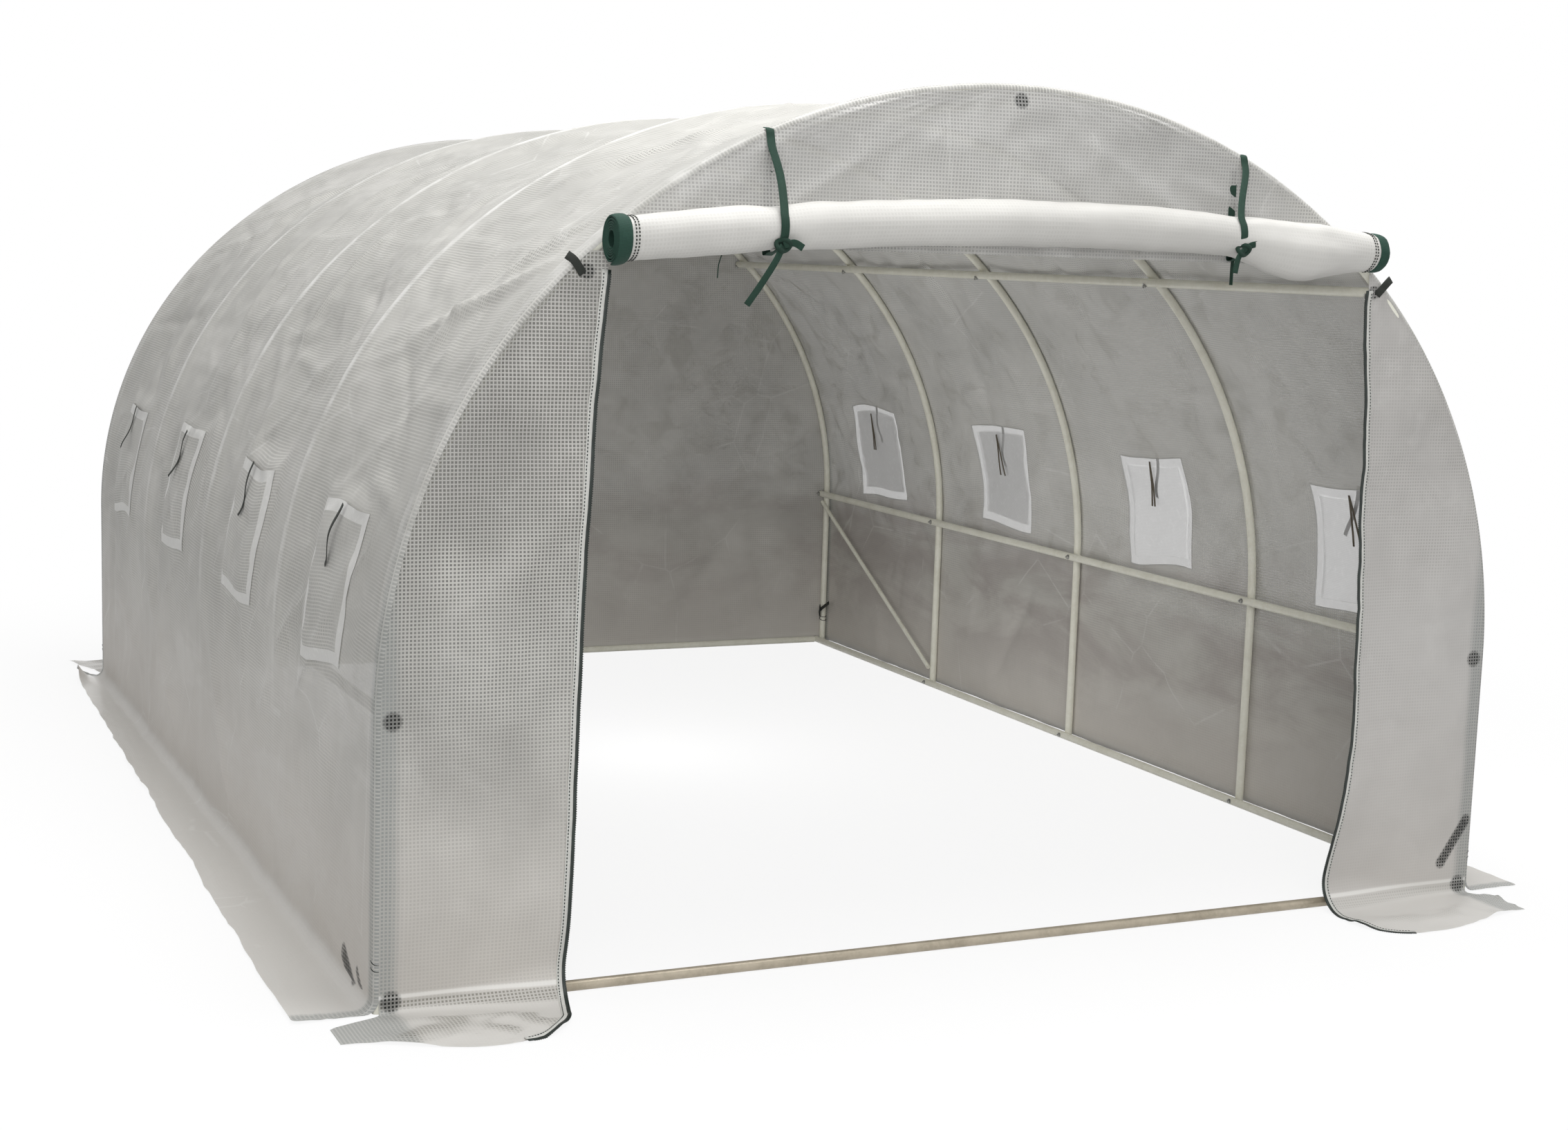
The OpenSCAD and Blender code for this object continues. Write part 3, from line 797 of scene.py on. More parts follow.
rows_s = spaced([FOOT_S, CUT_S0, CUT_S1, GIRTH - CUT_S1, GIRTH - CUT_S0, GIRTH - FOOT_S])
stops = [FRONT]
for i in range(BAYS):
    mid = FRONT + i + 0.5
    stops += [mid - CUT_W, mid + CUT_W, FRONT + i + 1]
cols_y = spaced(stops)
# the sheet turns in round both end hoops
turn = np.radians(np.array([18, 36, 54, 72, 90.0]))
all_y = np.concatenate([FRONT - FILM * np.sin(turn[::-1]), cols_y, REAR + FILM * np.sin(turn)])
wrap = np.concatenate([np.cos(turn[::-1]), np.ones(len(cols_y)), np.cos(turn)])

S, Y = warp(*lattice(rows_s, all_y))
x, z, nx, nz = arch(S)
off = (FILM + drape(S, np.clip(Y, FRONT, REAR))) * wrap
body = np.stack([x + nx * off, Y, z + nz * off], -1)


def ground_flap(side):
    """Rows from the foot of the wall round the bend to the flap's edge, and their place along the film."""
    base = body[0] if side < 0 else body[-1]
    seed = 31 if side < 0 else 37
    level = 0 * all_y
    edge = 0.009 * noise(all_y * 1.7, level, seed) + 0.002 * noise(all_y * 7, level + 3, seed)
    reach = 0.135 - 0.020 * all_y - FOOT_BEND + edge
    # the rear corner of the left flap stands up
    peak = 0.055 * np.exp(-((all_y - 1.93) / 0.09) ** 2) if side < 0 else 0.0
    rows, lengths = [], []

    def add_row(out, height, length):
        rows.append(np.stack([base[:, 0] + side * out, base[:, 1], level + height], -1))
        lengths.append(length)

    for a in np.radians(np.arange(15.0, 91, 15)):
        add_row(FOOT_BEND * (1 - math.cos(a)), FOOT_Z + FOOT_BEND * (1 - math.sin(a)), -FOOT_BEND * a)
    for t in np.linspace(0, 1, 10)[1:]:
        wave = 0.005 * t * (0.5 + 0.5 * crumple(all_y * 1.9 + 2 * t, level + t * 1.3, seed + 2)) ** 2
        wave += 0.006 * t ** 2 * smooth(noise(all_y * 1.4, level, seed + 4), 0.05, 0.55)
        height = LYING_Z + np.clip(wave, 0, None) + t ** 2 * peak
        add_row(FOOT_BEND + t * reach, height, -FOOT_BEND * math.pi / 2 - t * 0.12)
    return np.array(rows), np.array(lengths)


left, left_u = ground_flap(-1)
right, right_u = ground_flap(1)
cover = np.concatenate([left[::-1], body, right])
cover_u = np.concatenate([left_u[::-1], rows_s, GIRTH - right_u])
U, V = lattice(cover_u, all_y)
mid_u, mid_v = (U[:-1, :-1] + U[1:, 1:]) / 2, (V[:-1, :-1] + V[1:, 1:]) / 2
mid_g = np.minimum(mid_u, GIRTH - mid_u)
hole = (mid_g > CUT_S0) & (mid_g < CUT_S1)
hole &= (np.abs(mid_v - np.floor(mid_v) - 0.5) < CUT_W) & (np.abs(mid_v) < REAR)
cover_obj = grid("cover_film", cover, np.stack([U, V], -1), COVER_MAT, "film", ~hole)
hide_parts("left_wall_sheet", "left_shoulder_sheet", "roof_sheet", "right_shoulder_sheet",
            "right_wall_sheet", "left_ground_flap", "right_ground_flap")
GIRTH + 2 * 0.17


# End panels
def hung(h, bend):
    """Height and outward reach of a sheet that hangs to the ground and turns out over it."""
    turn_at = np.clip((bend - h) / bend, 0, math.pi / 2)
    flat = np.clip(bend * (1 - math.pi / 2) - h, 0, None)
    z = np.where(h > bend, h, bend * (1 - np.sin(turn_at)))
    return z, np.where(h > bend, 0, bend * (1 - np.cos(turn_at)) + flat)


def lying(x, h, seed):
    """Height of the creased part of a panel that lies on the ground."""
    creases = np.clip(0.012 * crumple(x, h * 5, seed), 0, None)
    return LYING_Z + smooth(h, 0.02, -0.06) * creases * smooth(-h, 0.02, 0.1)


def puffed(x, h, free, waves, folds):
    """How far an end panel stands out: waves, by height, two densities and seed, and single folds."""
    out = sum(height * crumple(x * along_x, h * along_h, seed) for height, along_x, along_h, seed in waves)
    out = out + sum(fold(x, h, *line) for line in folds)
    return np.clip(free * out, -0.0035, None)


# The free edges beside the doorway: heights along the sheet, and the distance from the middle at each side
JAMB_H = [1.72, 1.62, 1.32, 1.0, 0.74, 0.41, 0.21, 0.10, 0.0, -0.08, -0.16, -0.23, -0.262]
JAMB_X = {1: [1.024, 1.030, 1.046, 1.058, 1.068, 1.064, 1.030, 1.016, 1.010, 1.006, 1.012, 1.050, 1.110],
          -1: [0.996, 1.000, 1.026, 1.042, 1.050, 1.062, 1.070, 1.074, 1.084, 1.100, 1.124, 1.180, 1.250]}


def jamb_point(a, h, side):
    """Points of a front side panel, and their distance from the middle.

    a runs from the zip to the hoop, h is the height along the sheet."""
    a, h = paired(a, h)
    seed, spread, shorter = (51, 0.04, 0.30) if side > 0 else (57, 0.12, 0.42)
    line = curve_points(np.stack([JAMB_H, JAMB_X[side]], 1), 200)
    inner = np.interp(-h, -line[:, 0], line[:, 1])
    outer = np.where(h > 0, panel_half(np.clip(h, 0, None)), HALF + LAP + spread * smooth(-h, 0.0, 0.10))
    outer = np.maximum(outer, inner + 0.0005)
    px = inner + (outer - inner) * a
    bend = 0.014 + 0.075 * (1 - smooth(a, 0.0, 0.9))
    depth = (FLAP_END + 0.006 - 0.43 * bend) / FLAP_END * (1 - shorter * smooth(a, 0.15, 1.0))
    pz, reach = hung(np.where(h < 0, h * depth, h), bend)
    free = smooth(a, 1.0, 0.85) * smooth(h, 0.02, 0.25)
    bulge = free * (0.010 * crumple(px * 2.2, h * 1.6, seed) + 0.003 * crumple(px * 7, h * 6, seed + 3))
    bulge += free * 0.016 * smooth(h, 0.9, 0.2) * (1 - a)
    py = PANEL_Y - reach - np.clip(bulge, -0.004, None)
    return np.stack([side * px, py, np.maximum(pz, 0) + lying(px * 4 + 1, h, seed + 7)], -1), px


FRONT_TOP = 1.64
sheet_h = np.concatenate([np.linspace(FRONT_TOP, 0.10, 88), np.linspace(0.09, -0.05, 15),
                          np.linspace(-0.06, -FLAP_END, 12)])
A, H = lattice(np.linspace(0, 1, 27), sheet_h)
for side, label in SIDES:
    pts, px = jamb_point(A, H, side)
    o = grid(f"front_{label}_film", pts, np.stack([px, H], -1), SHADED_LEFT_FILM if side < 0 else LIT_RIGHT_FILM, "film")
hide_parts("front_left_panel", "front_ground_flaps")
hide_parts("front_right_panel")

# The panel above the doorway, with folds by x and height at both ends, width and height
PANEL_TOP = CROWN - 0.0008
TOP_FOOT = ROLL_Z - 0.045
TOP_FOLDS = [(-0.75, 1.66, -0.25, 1.95, 0.02, 0.008), (0.1, 1.97, 0.62, 1.68, 0.02, 0.010),
             (-0.05, 1.95, 0.35, 1.66, 0.015, -0.006), (0.45, 1.86, 0.9, 1.70, 0.018, 0.008)]
top_z = PANEL_TOP - (1 - np.linspace(0, 1, 34) ** 1.5) * (PANEL_TOP - TOP_FOOT)
A, H = lattice(np.linspace(-1, 1, 120), top_z)
px = A * np.minimum(panel_half(H), DOOR_HALF + 0.004)
free = smooth(np.abs(A), 1.0, 0.9) * smooth(H, CROWN, CROWN - 0.06)
puff = puffed(px, H, free, [(0.012, 2.6, 3.0, 71), (0.004, 8, 8, 73)], TOP_FOLDS)
pts = np.stack([px, PANEL_Y - puff, H], -1)
top_obj = grid("front_top_film", pts, np.stack([px, H], -1), LIT_TOP_FILM, "film")
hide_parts("front_top_panel")

# The rear panel and its ground flap
REAR_FOLDS = [(-0.9, 1.2, 0.5, 1.45, 0.03, -0.010), (-0.6, 0.9, 0.6, 1.12, 0.03, 0.009),
              (-1.2, 0.2, -0.7, 0.8, 0.03, 0.010), (0.8, 0.1, 1.2, 0.7, 0.03, 0.010)]
rear_h = np.concatenate([PANEL_TOP - (1 - np.linspace(0, 1, 100)[::-1] ** 1.3) * (CROWN - 0.06),
                         np.linspace(0.05, -FLAP_END, 18)])
A, H = lattice(np.linspace(-1, 1, 150), rear_h)
spread = HALF + LAP + 0.10 * np.clip(-H / FLAP_END, 0, 1)
px = A * np.where(H > 0, panel_half(np.clip(H, 0, None)), spread)
pz, reach = hung(H, 0.016)
free = smooth(np.abs(A), 1.0, 0.92) * smooth(H, 0.0, 0.15) * smooth(H, CROWN, CROWN - 0.08)
puff = puffed(px, H, free, [(0.014, 1.5, 1.8, 81), (0.005, 5, 5, 83)], REAR_FOLDS)
pts = np.stack([px, REAR + FILM + reach + puff, np.maximum(pz, 0) + lying(px * 3, H, 85)], -1)
rear_obj = grid("rear_film", pts, np.stack([px, H], -1), SHADED_REAR_MAT, "film")
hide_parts("rear_panel", "rear_ground_flap")

# Zips beside the doorway
ZIP_TAPE_SIZE = (0.013, 0.0012)
CHAIN_SIZE = (0.008, 0.0022)
TOOTH_SIZE = (0.0026, 0.004, 0.003)
STITCH_SIZE = (0.0042, 0.0022, 0.0010)
zip_h = np.concatenate([np.linspace(1.60, 0.1, 110), np.linspace(0.09, -FLAP_END + 0.004, 44)])
tapes, chains, teeth, stitches = [], [], [], []
for side in (-1, 1):
    edge, _ = jamb_point(0, zip_h, side)
    inner, _ = jamb_point(0.04, zip_h, side)
    along = unit(np.gradient(edge, axis=0))
    across = inner - edge
    across -= (across * along).sum(1, keepdims=True) * along
    across[np.linalg.norm(across, axis=1) < 1e-3] = [side, 0, 0]
    across = unit(across)
    face = np.cross(along, across) * side
    face *= np.where(face[:, 1:2] - face[:, 2:3] > 0, -1, 1)
    tapes.append(band(edge + across * 0.007 + face * 0.0016, across, face, ZIP_TAPE_SIZE))
    chains.append(band(edge - across * 0.003 + face * 0.0012, across, face, CHAIN_SIZE))
    run = run_length(edge)
    for parts, pitch, aside, lift, size in ((teeth, 0.0052, -0.0060, 0.0014, TOOTH_SIZE),
                                            (stitches, 0.0078, 0.0095, 0.0026, STITCH_SIZE)):
        for d in np.arange(0.01, run[-1] - 0.01, pitch):
            at, *ways = (np.array([np.interp(d, run, q[:, i]) for i in range(3)])
                         for q in (edge, along, across, face))
            parts.append(box_part(at + ways[1] * aside + ways[2] * lift, ways, size))
joined("zip_tapes", tapes, TAPE_MAT, "film")
chain_obj = joined("zip_chains", chains, ZIP_MAT, "zip")
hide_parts("door_zips")
joined("zip_teeth", teeth, ZIP_MAT, "zip", False)
joined("zip_stitches", stitches, ZIP_MAT, "zip", False)

# The rolled-up door
TURNS = 6.0
PITCH = 0.005
ROLL_STEP = 15.0
END = DOOR_HALF - 0.055
X_WAY = np.array([1.0, 0, 0])


def roll_lift(x):
    """The roll hangs by two straps: its ends sag, and the right half is pulled higher."""
    return 0.030 - 0.052 * x ** 2 + 0.015 * x


def roll_point(a, x):
    """Point of the rolled sheet: a is the angle from the outer end inward, in degrees."""
    a, x = paired(a, x)
    w = np.radians(-90 - a)
    depth = a / 360

    def outer(turns, least):
        """1 on the outside, and less on the turns further in."""
        return np.clip(1 - depth / turns, least, 1)

    r = (ROLL_R + 0.009 * (1 - x ** 2) - PITCH * depth) * (1 + 0.02 * np.cos(2 * w))
    lump = 0.0030 * noise(x * 5 + 3, np.cos(w) * 1.5 + np.sin(w), 91)
    lump += 0.0016 * noise(x * 16, np.sin(w) * 2 + np.cos(w) * 1.3, 93)
    pinch = sum(np.exp(-((x - at) / 0.05) ** 2) for at in LOW_STRAP.values())
    r = r + lump * outer(4, 0.15) - 0.006 * pinch * outer(5, 0.2)
    r = r + 0.005 * smooth(-x, 0.3, 0.8) * outer(3, 0.1)
    # the sheet is loose beyond the right strap
    loose = np.exp(-((x - 0.76) / 0.15) ** 2) * outer(3, 0.1)
    hang = 0.044 * np.clip(-np.sin(w + 0.3), 0, 1)
    r = r + loose * (hang + 0.006 * crumple(x * 5 + 1, np.cos(w) + w * 0.3, 97))
    y = ROLL_Y + 0.004 * noise(x * 2, 0 * x, 95) + r * np.cos(w)
    return np.stack([x, y, ROLL_Z + roll_lift(x) + r * np.sin(w)], -1)


roll_a = np.arange(0, 360 * TURNS + 1, ROLL_STEP)
roll_x = np.concatenate([[-END], np.linspace(-END + 0.004, END - 0.004, 118), [END]])
wound = roll_point(*lattice(roll_a, roll_x))
# the neck comes from the panel above
start = np.stack([roll_x, np.full_like(roll_x, PANEL_Y - 0.0016), ROLL_Z + roll_lift(roll_x) - 0.028], -1)
neck = []
for t in np.linspace(0, 1, 6)[:-1]:
    p = (1 - t) * start + t * wound[0]
    p[:, 2] -= 0.006 * math.sin(math.pi * t) ** 0.8
    neck.append(p)
arcs = np.radians(ROLL_STEP) * (ROLL_R - PITCH * roll_a[1:] / 360)
lengths = np.concatenate([np.linspace(-0.08, -0.016, 5), [0], np.cumsum(arcs)])
roll_uv = np.stack(lattice(lengths, roll_x), -1)
roll_obj = grid("door_roll_film", np.concatenate([np.array(neck), wound]), roll_uv, ROLL_MAT, "film")
roll_obj.modifiers.new("thick", "SOLIDIFY").thickness = 0.0014
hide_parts("door_roll")

ROLL_STITCH_SIZE = (0.0042, 0.0030, 0.0012)
stitches = []
for side, inset, a in product((-1, 1), (0.010, 0.017), np.arange(4, 352, 9.0)):
    hub, here, on = (roll_point(b, side * (END - inset)) for b in (a + 180, a, a + 2))
    out = unit((here - hub) * (0, 1, 1))
    stitches.append(box_part(here + out * 0.0010, (unit(on - here), X_WAY, out), ROLL_STITCH_SIZE))
joined("roll_stitches", stitches, TIE_MAT, "strap", False)

# The dark edge tapes, wound with the door
EDGE_AT = np.array([0, 0.004, 0.012, 0.020, 0.026, 0.028])
for side, label in SIDES:
    A, X = lattice(roll_a, side * (END + EDGE_AT))
    pts = roll_point(A, X)
    swell = 0.0025 * np.sin(np.linspace(0, math.pi, len(EDGE_AT)))
    w = np.radians(-90 - A)
    pts[..., 1] += swell * np.cos(w)
    pts[..., 2] += swell * np.sin(w)
    o = grid(f"door_edge_{label}", pts, np.stack([A * 0.0007, X], -1), EDGE_MAT, "strap")
    o.modifiers.new("thick", "SOLIDIFY").thickness = 0.0042
    if side < 0:
        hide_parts("door_edge_tapes")

# Straps that hold the door: tails from the knot, and the short free tail behind the roll with its way across
HOOP_Z = TOP_Z + math.sqrt(TOP_R ** 2 - STRAP_X ** 2)
KNOT_TAILS = {-1: [[(0, -0.006, 0), (-0.02, -0.012, -0.035), (-0.05, -0.006, -0.085), (-0.078, 0.004, -0.13)],
                   [(0, -0.008, 0), (0.022, -0.014, 0.006), (0.045, -0.012, -0.004)]],
              1: [[(0, -0.006, 0), (0.018, -0.012, 0.012), (0.040, -0.014, 0.016)],
                  [(0, -0.008, 0), (-0.018, -0.012, -0.02), (-0.024, -0.010, -0.055)]]}
BEHIND = {-1: [(-0.700, -0.0185, 1.700), (-0.728, -0.0190, 1.662), (-0.745, -0.0200, 1.625),
               (-0.749, -0.0210, 1.590)],
          1: [(0.618, -0.0185, 1.715), (0.612, -0.0190, 1.680), (0.609, -0.0200, 1.645),
              (0.608, -0.0210, 1.606)]}
BEHIND_WAY = {-1: (0.45, 0.9, 0.0), 1: (0.15, 1.0, 0.0)}


def strap_path(side, cz, r):
    """From the top of the hoop down to the roll, round it at the radius r, and up again inside."""
    sx, low_x = side * STRAP_X, LOW_STRAP[side]
    leave = np.array([FRONT - 0.0185, HOOP_Z - 0.006])
    path = [(sx, FRONT + 0.004, HOOP_Z + 0.0165), (sx, FRONT - 0.012, HOOP_Z + 0.012), (sx, *leave)]
    high = leave - (ROLL_Y, cz)
    a0 = math.atan2(high[1], high[0]) + math.acos(r / np.linalg.norm(high))
    meet = np.array([ROLL_Y + r * math.cos(a0), cz + r * math.sin(a0)])
    for t in np.linspace(0.12, 0.9, 6):
        x = sx + (low_x - sx) * t + 0.004 * math.sin(5 * t + side)
        path.append((x, *((1 - t) * leave + t * meet)))
    for a in np.linspace(a0, math.radians(262), 14):
        path.append((low_x + side * 0.004, ROLL_Y + r * math.cos(a), cz + r * math.sin(a)))
    for y, z in ((-0.045, cz - 0.055), (-0.020, cz - 0.062), (-0.0118, cz - 0.050), (-0.0112, 1.74),
                 (-0.0112, HOOP_Z - 0.022)):
        path.append((sx + (low_x - sx) * 0.4, FRONT + y, z))
    return curve_points(path, 90)


def level_band(path, across, size):
    """A flat strap with one direction across it all along."""
    return band(path, across, np.cross(np.gradient(path, axis=0), across), size)


for side, label in SIDES:
    cz = ROLL_Z + roll_lift(LOW_STRAP[side])
    r = ROLL_R + (0.0095 if side < 0 else 0.0045)
    knot = np.array([LOW_STRAP[side] + side * 0.006, ROLL_Y - r * 0.80, cz - r * 0.72])
    loop = [knot + (0.016 * math.cos(t), -0.006 - 0.006 * math.sin(2 * t), 0.012 * math.sin(t))
            for t in np.linspace(0, 2 * math.pi, 22)]
    behind = curve_points(np.array(BEHIND[side]) + (0, FRONT, 0), 16)
    parts = [level_band(strap_path(side, cz, r), X_WAY, STRAP_SIZE), turned(loop, 0.0055, 8),
             level_band(behind, BEHIND_WAY[side], TAIL_SIZE)]
    for tail in KNOT_TAILS[side]:
        p = curve_points(knot + np.array(tail), 16)
        parts.append(band(p, np.cross(np.gradient(p, axis=0), (0, 1.0, 0.2)), (0, -1.0, 0.1), TAIL_SIZE))
    o = joined(f"{label}_strap", parts, STRAP_MAT, "strap")
    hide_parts(f"{label}_door_strap")


# Windows
def window_lines(low, high):
    """Lines over a window from border to border."""
    return np.concatenate([np.linspace(low - BORDER, low, 4), np.linspace(low, high, 20)[1:-1],
                           np.linspace(high, high + BORDER, 4)])


win_g, win_y = window_lines(NET_S0, NET_S1), window_lines(-NET_W, NET_W)
G, Y = lattice(win_g, win_y)
win_uv = np.stack([G, Y], -1)
mid_g, mid_y = (win_g[:-1] + win_g[1:]) / 2, (win_y[:-1] + win_y[1:]) / 2
in_net = ((mid_g > NET_S0) & (mid_g < NET_S1))[:, None] & (np.abs(mid_y) < NET_W)
inside = smooth(NET_W + BORDER - np.abs(Y), 0.0, 0.05) * smooth(G, NET_S0 - BORDER, NET_S0 + 0.03)
TIE_TOP, TIE_LONG = NET_S1 + BORDER, 0.15
t = np.linspace(0, 1, 14)
for side, label in SIDES:
    borders, nets, flaps, flap_hems, outer_ties, inner_ties = [], [], [], [], [], []
    normal = (side, 0, 0.4)
    for i in range(BAYS):
        mid = FRONT + i + 0.5
        seed = window_seed(i, side > 0)
        s, y = warp(from_foot(G, side > 0), mid + Y)
        sunk = -0.0012 - 0.0024 * np.abs(noise(G * 6, Y * 6, seed))
        lift = 0.0016 + 0.010 * inside * np.clip(0.4 + crumple(G * 6 + i, Y * 5, seed + 3), 0, 1)
        for parts, raised, keep in ((borders, -0.0024, ~in_net), (nets, sunk, in_net), (flaps, lift, in_net),
                                    (flap_hems, lift, ~in_net)):
            parts.append(kept_cells(on_cover(s, y, raised), win_uv, keep))
        # ties over the window, one outside and two inside
        lean = rng.uniform(0.05, 0.16)
        line = on_cover(from_foot(TIE_TOP - TIE_LONG * t, side > 0), mid + lean * (t - 0.2) * 0.5,
                        0.020 + 0.012 * np.sin(t * 5 + i) * t)
        outer_ties.append(facing_band(line, normal, TIE_SIZE))
        for lean in (0.0, -0.22 if i in (0, 2) else 0.10):
            line = on_cover(from_foot(TIE_TOP - 0.02 - TIE_LONG * t, side > 0), mid + lean * t * 0.15,
                            -0.008 - 0.006 * t)
            inner_ties.append(facing_band(line, normal, INNER_TIE_SIZE))

    o = joined(f"{label}_borders", borders, BORDER_MAT, "net")
    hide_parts(f"{label}_window_borders")
    o = joined(f"{label}_nets", nets, NET_MAT, "net")
    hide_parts(f"{label}_window_nets")
    hems = joined(f"{label}_flap_hems", flap_hems, HEM_MAT if side < 0 else BORDER_MAT, "net")
    # the flaps on the right are painted lighter for the daylight behind them; the first two are thinner and
    # painted lighter still
    whole = flaps if side < 0 else flaps[2:]
    o = joined(f"{label}_flaps", whole, FLAP_MAT if side < 0 else LIT_FLAP_MAT, "film")
    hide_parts(f"{label}_window_flaps")
    if side > 0:
        o = joined("right_bright_flaps", flaps[:2], BRIGHT_MAT, "film")
    o = joined(f"{label}_outer_ties", outer_ties, TIE_MAT, "strap")
    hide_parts(f"{label}_window_ties")
    joined(f"{label}_inner_ties", inner_ties, INNER_TIE_MAT, "strap")

# Ties at the corner legs: two rings round the leg, flattened against the film, and two tails
RING_R, RING_REACH = 0.0142, HALF + 0.0136
tie_parts = []
for sx, sy in product((-1, 1), repeat=2):
    cx, cy = sx * HALF, REAR * sy
    t = np.linspace(0.15, 2 * math.pi - 0.15, 26)
    ring_x = np.clip(cx + RING_R * np.cos(t), -RING_REACH, RING_REACH)
    for cz in (0.10, 0.115):
        ring = np.stack([ring_x, cy + RING_R * np.sin(t) * 0.9, cz + 0.006 * np.sin(t)], 1)
        tie_parts.append(turned(ring, 0.0012, 6))
    knot = np.array([cx - sx * 0.015, cy, 0.11])
    for k, lean in enumerate((0.05, -0.02)):
        tail = curve_points([knot, knot + (-sx * 0.010, -sy * 0.02, 0.03 + 0.02 * k),
                             knot + (-sx * (0.012 - lean * 0.1), -sy * (0.05 + lean), 0.075 - 0.05 * k)], 12)
        tie_parts.append(facing_band(tail, (-sx, 0.15, 0.1), TAIL_SIZE))
o = joined("corner_leg_ties", tie_parts, TIE_MAT, "strap")
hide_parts("corner_ties")

# Tabs at the top corners of the doorway
TAB_X = DOOR_HALF + 0.030
TAB_Z = LEG + math.sqrt(SIDE_R ** 2 - (TAB_X - SIDE_C) ** 2)
TAB_LINE = ((-0.012, -0.003, -0.020), (0, -0.008, -0.004), (0.012, -0.010, 0.010), (0.026, -0.006, 0.020))
tab_parts = []
for sx in (-1, 1):
    p = curve_points([(sx * (TAB_X + dx), PANEL_Y + dy, TAB_Z + dz) for dx, dy, dz in TAB_LINE], 10)
    tab_parts.append(facing_band(p, (0.0, -1, 0.15), TAB_SIZE))
o = joined("door_tabs", tab_parts, TIE_MAT, "strap")
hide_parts("door_corner_tabs")

# Bolts at the tube crossings: washer, nut and end by distance from the tube, radius, height and sides
BOLT = ((-0.0006, 0.0085, 0.0016, 16), (0.0010, 0.0062, 0.0052, 6), (0.0062, 0.0029, 0.0040, 10))


def turned_block(at, axis, r, h, sides):
    """A short block with eased rims, along an axis."""
    u = unit(np.cross(axis, (0, 1.0, 0)))
    v = np.cross(axis, u)
    rings = ((0, r * 0.9), (h * 0.12, r), (h * 0.85, r), (h, r * 0.86))
    verts = [at + axis * d + q * (math.cos(w) * u + math.sin(w) * v)
             for d, q in rings for w in np.arange(sides) * 2 * math.pi / sides]
    return verts, tube_faces(len(rings), sides), [(0, 0)] * len(verts)


bolt_parts = []
for i in range(BAYS + 1):
    y = FRONT + i
    spots = [((0, y, CROWN - INSET), (0, 0, -1))]
    for sx in (-1, 1):
        spots.append(((sx * PURLIN_X, y, PURLIN_Z), (-sx * math.cos(BOW), 0, -math.sin(BOW))))
        spots.append(((sx * (HALF - INSET), y, LEG), (-sx, 0, 0)))
        if 0 < i < BAYS:
            spots.append(((sx * (HALF - INSET), y, TUBE_R), (-sx, 0, 0)))
    for at, axis in spots:
        axis = np.array(axis, float)
        for out, r, h, sides in BOLT:
            bolt_parts.append(turned_block(at + axis * (TUBE_R + out), axis, r, h, sides))
joined("frame_bolts", bolt_parts, BOLT_MAT, "tube", False)

# The floor, which goes over into the white of the background away from the object
FLOOR_HALF, FLOOR_Z = 60, -0.0005
floor_mat = bpy.data.materials.new("pale_floor")
m = Nodes(floor_mat, "ShaderNodeOutputMaterial")
dim = m.shader("ShaderNodeBsdfDiffuse", 0.60)
near = m.filled("ShaderNodeAddShader", (m.shader("ShaderNodeBsdfDiffuse", 0.12),
                                        m.shader("ShaderNodeEmission", 1, 0.88)))
far = m.filled("ShaderNodeVectorMath", (m.place(),), "Value", operation="LENGTH")
visible = m.mix_shader(far.ramp(2.2, 4.5), near, m.shader("ShaderNodeEmission", 1, 1.0))
m.finish(m.mix_shader(m.seen(), dim, visible))
floor_mesh = bpy.data.meshes.new("floor")
corners = [(sx * FLOOR_HALF, sy * FLOOR_HALF, FLOOR_Z) for sx, sy in ((-1, -1), (1, -1), (1, 1), (-1, 1))]
floor_mesh.from_pydata(corners, [], [(0, 1, 2, 3)])
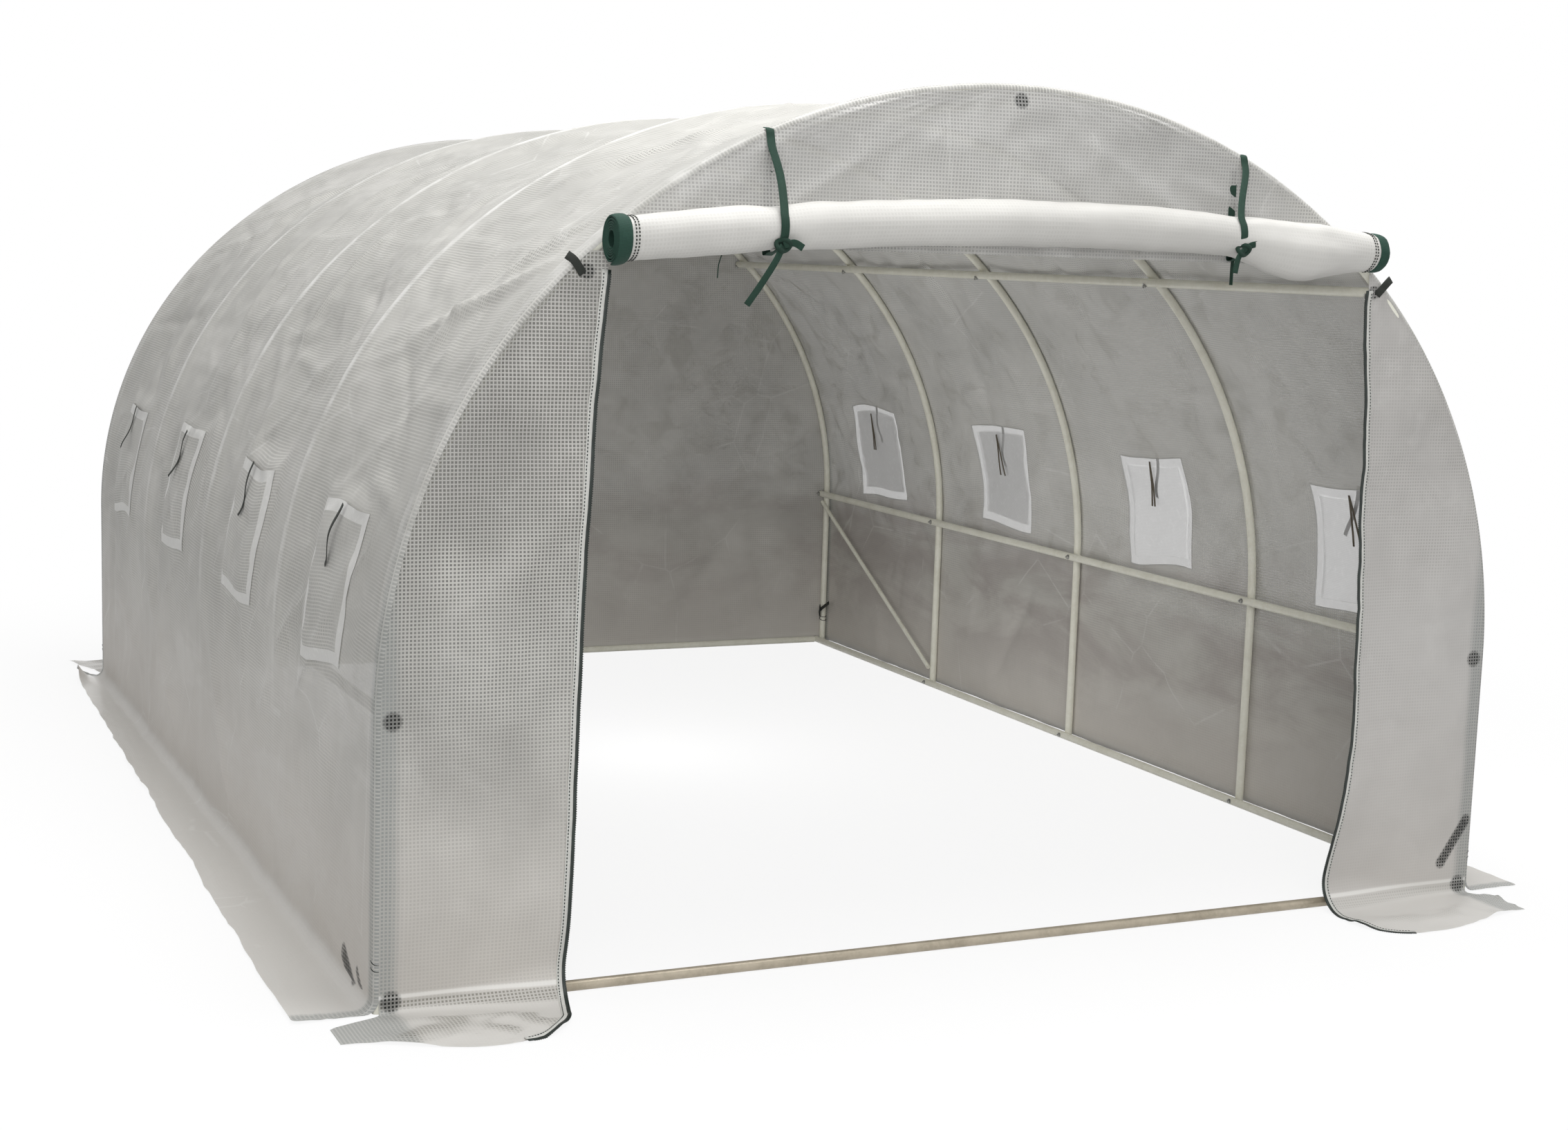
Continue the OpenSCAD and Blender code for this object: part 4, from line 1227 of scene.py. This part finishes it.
floor_mesh.materials.append(floor_mat)
add_object("floor", floor_mesh)

# World and lamps
world = bpy.data.worlds.new("studio")
bpy.context.scene.world = world
m = Nodes(world, "ShaderNodeOutputWorld")
dim, white = (m.shader("ShaderNodeBackground", 1.0, strength) for strength in (0.37, 1.0))
m.finish(m.mix_shader(m.seen(), dim, white))


def lamp(name, at, aim, size, watts):
    data = bpy.data.lights.new(name, "AREA")
    data.shape = "DISK"
    data.size = size
    data.energy = watts
    obj = add_object(name, data)
    obj.location = at
    obj.rotation_mode = "QUATERNION"
    obj.rotation_quaternion = (Vector(aim) - Vector(at)).to_track_quat("-Z", "Y")


lamp("top_light", (0.2, -1.6, 6.8), (0, -1.4, 1.4), 5.0, 375)
lamp("front_light", (-3.4, -9.2, 3.8), (0, -1.0, 0.9), 5.0, 262)
lamp("rear_light", (0.4, 10.0, 1.3), (0, 2.0, 0.9), 2.5, 70)

# a weak light inside stands for the daylight that comes through the film
glow = bpy.data.lights.new("inside_light", "POINT")
glow.energy = 21
glow.shadow_soft_size = 0.7
inside_lamp = add_object("inside_light", glow)
inside_lamp.location = (0.0, 0.2, 0.40)
inside_lamp.visible_camera = inside_lamp.visible_glossy = inside_lamp.visible_transmission = False

# The camera, with its focal length in pixels of the photograph
CAMERA = dict(at=(-2.6838, -6.5920, 1.6483), yaw=0.4338, pitch=-0.1375, roll=0.0321, focal=3257.7)
IMAGE_W = 2268
SENSOR_W = 36.0
cam_data = bpy.data.cameras.new("camera")
cam = add_object("camera", cam_data)
cam_data.sensor_width = SENSOR_W
cam_data.lens = CAMERA["focal"] / IMAGE_W * SENSOR_W
cam_data.clip_end = 200
turns = ((-CAMERA["yaw"], "Z"), (math.pi / 2 + CAMERA["pitch"], "X"), (CAMERA["roll"], "Z"))
pose = Matrix.Translation(CAMERA["at"])
for angle, axis in turns:
    pose = pose @ Matrix.Rotation(angle, 4, axis)
cam.matrix_world = pose
bpy.context.scene.camera = cam
bpy.context.scene.view_settings.view_transform = "Standard"
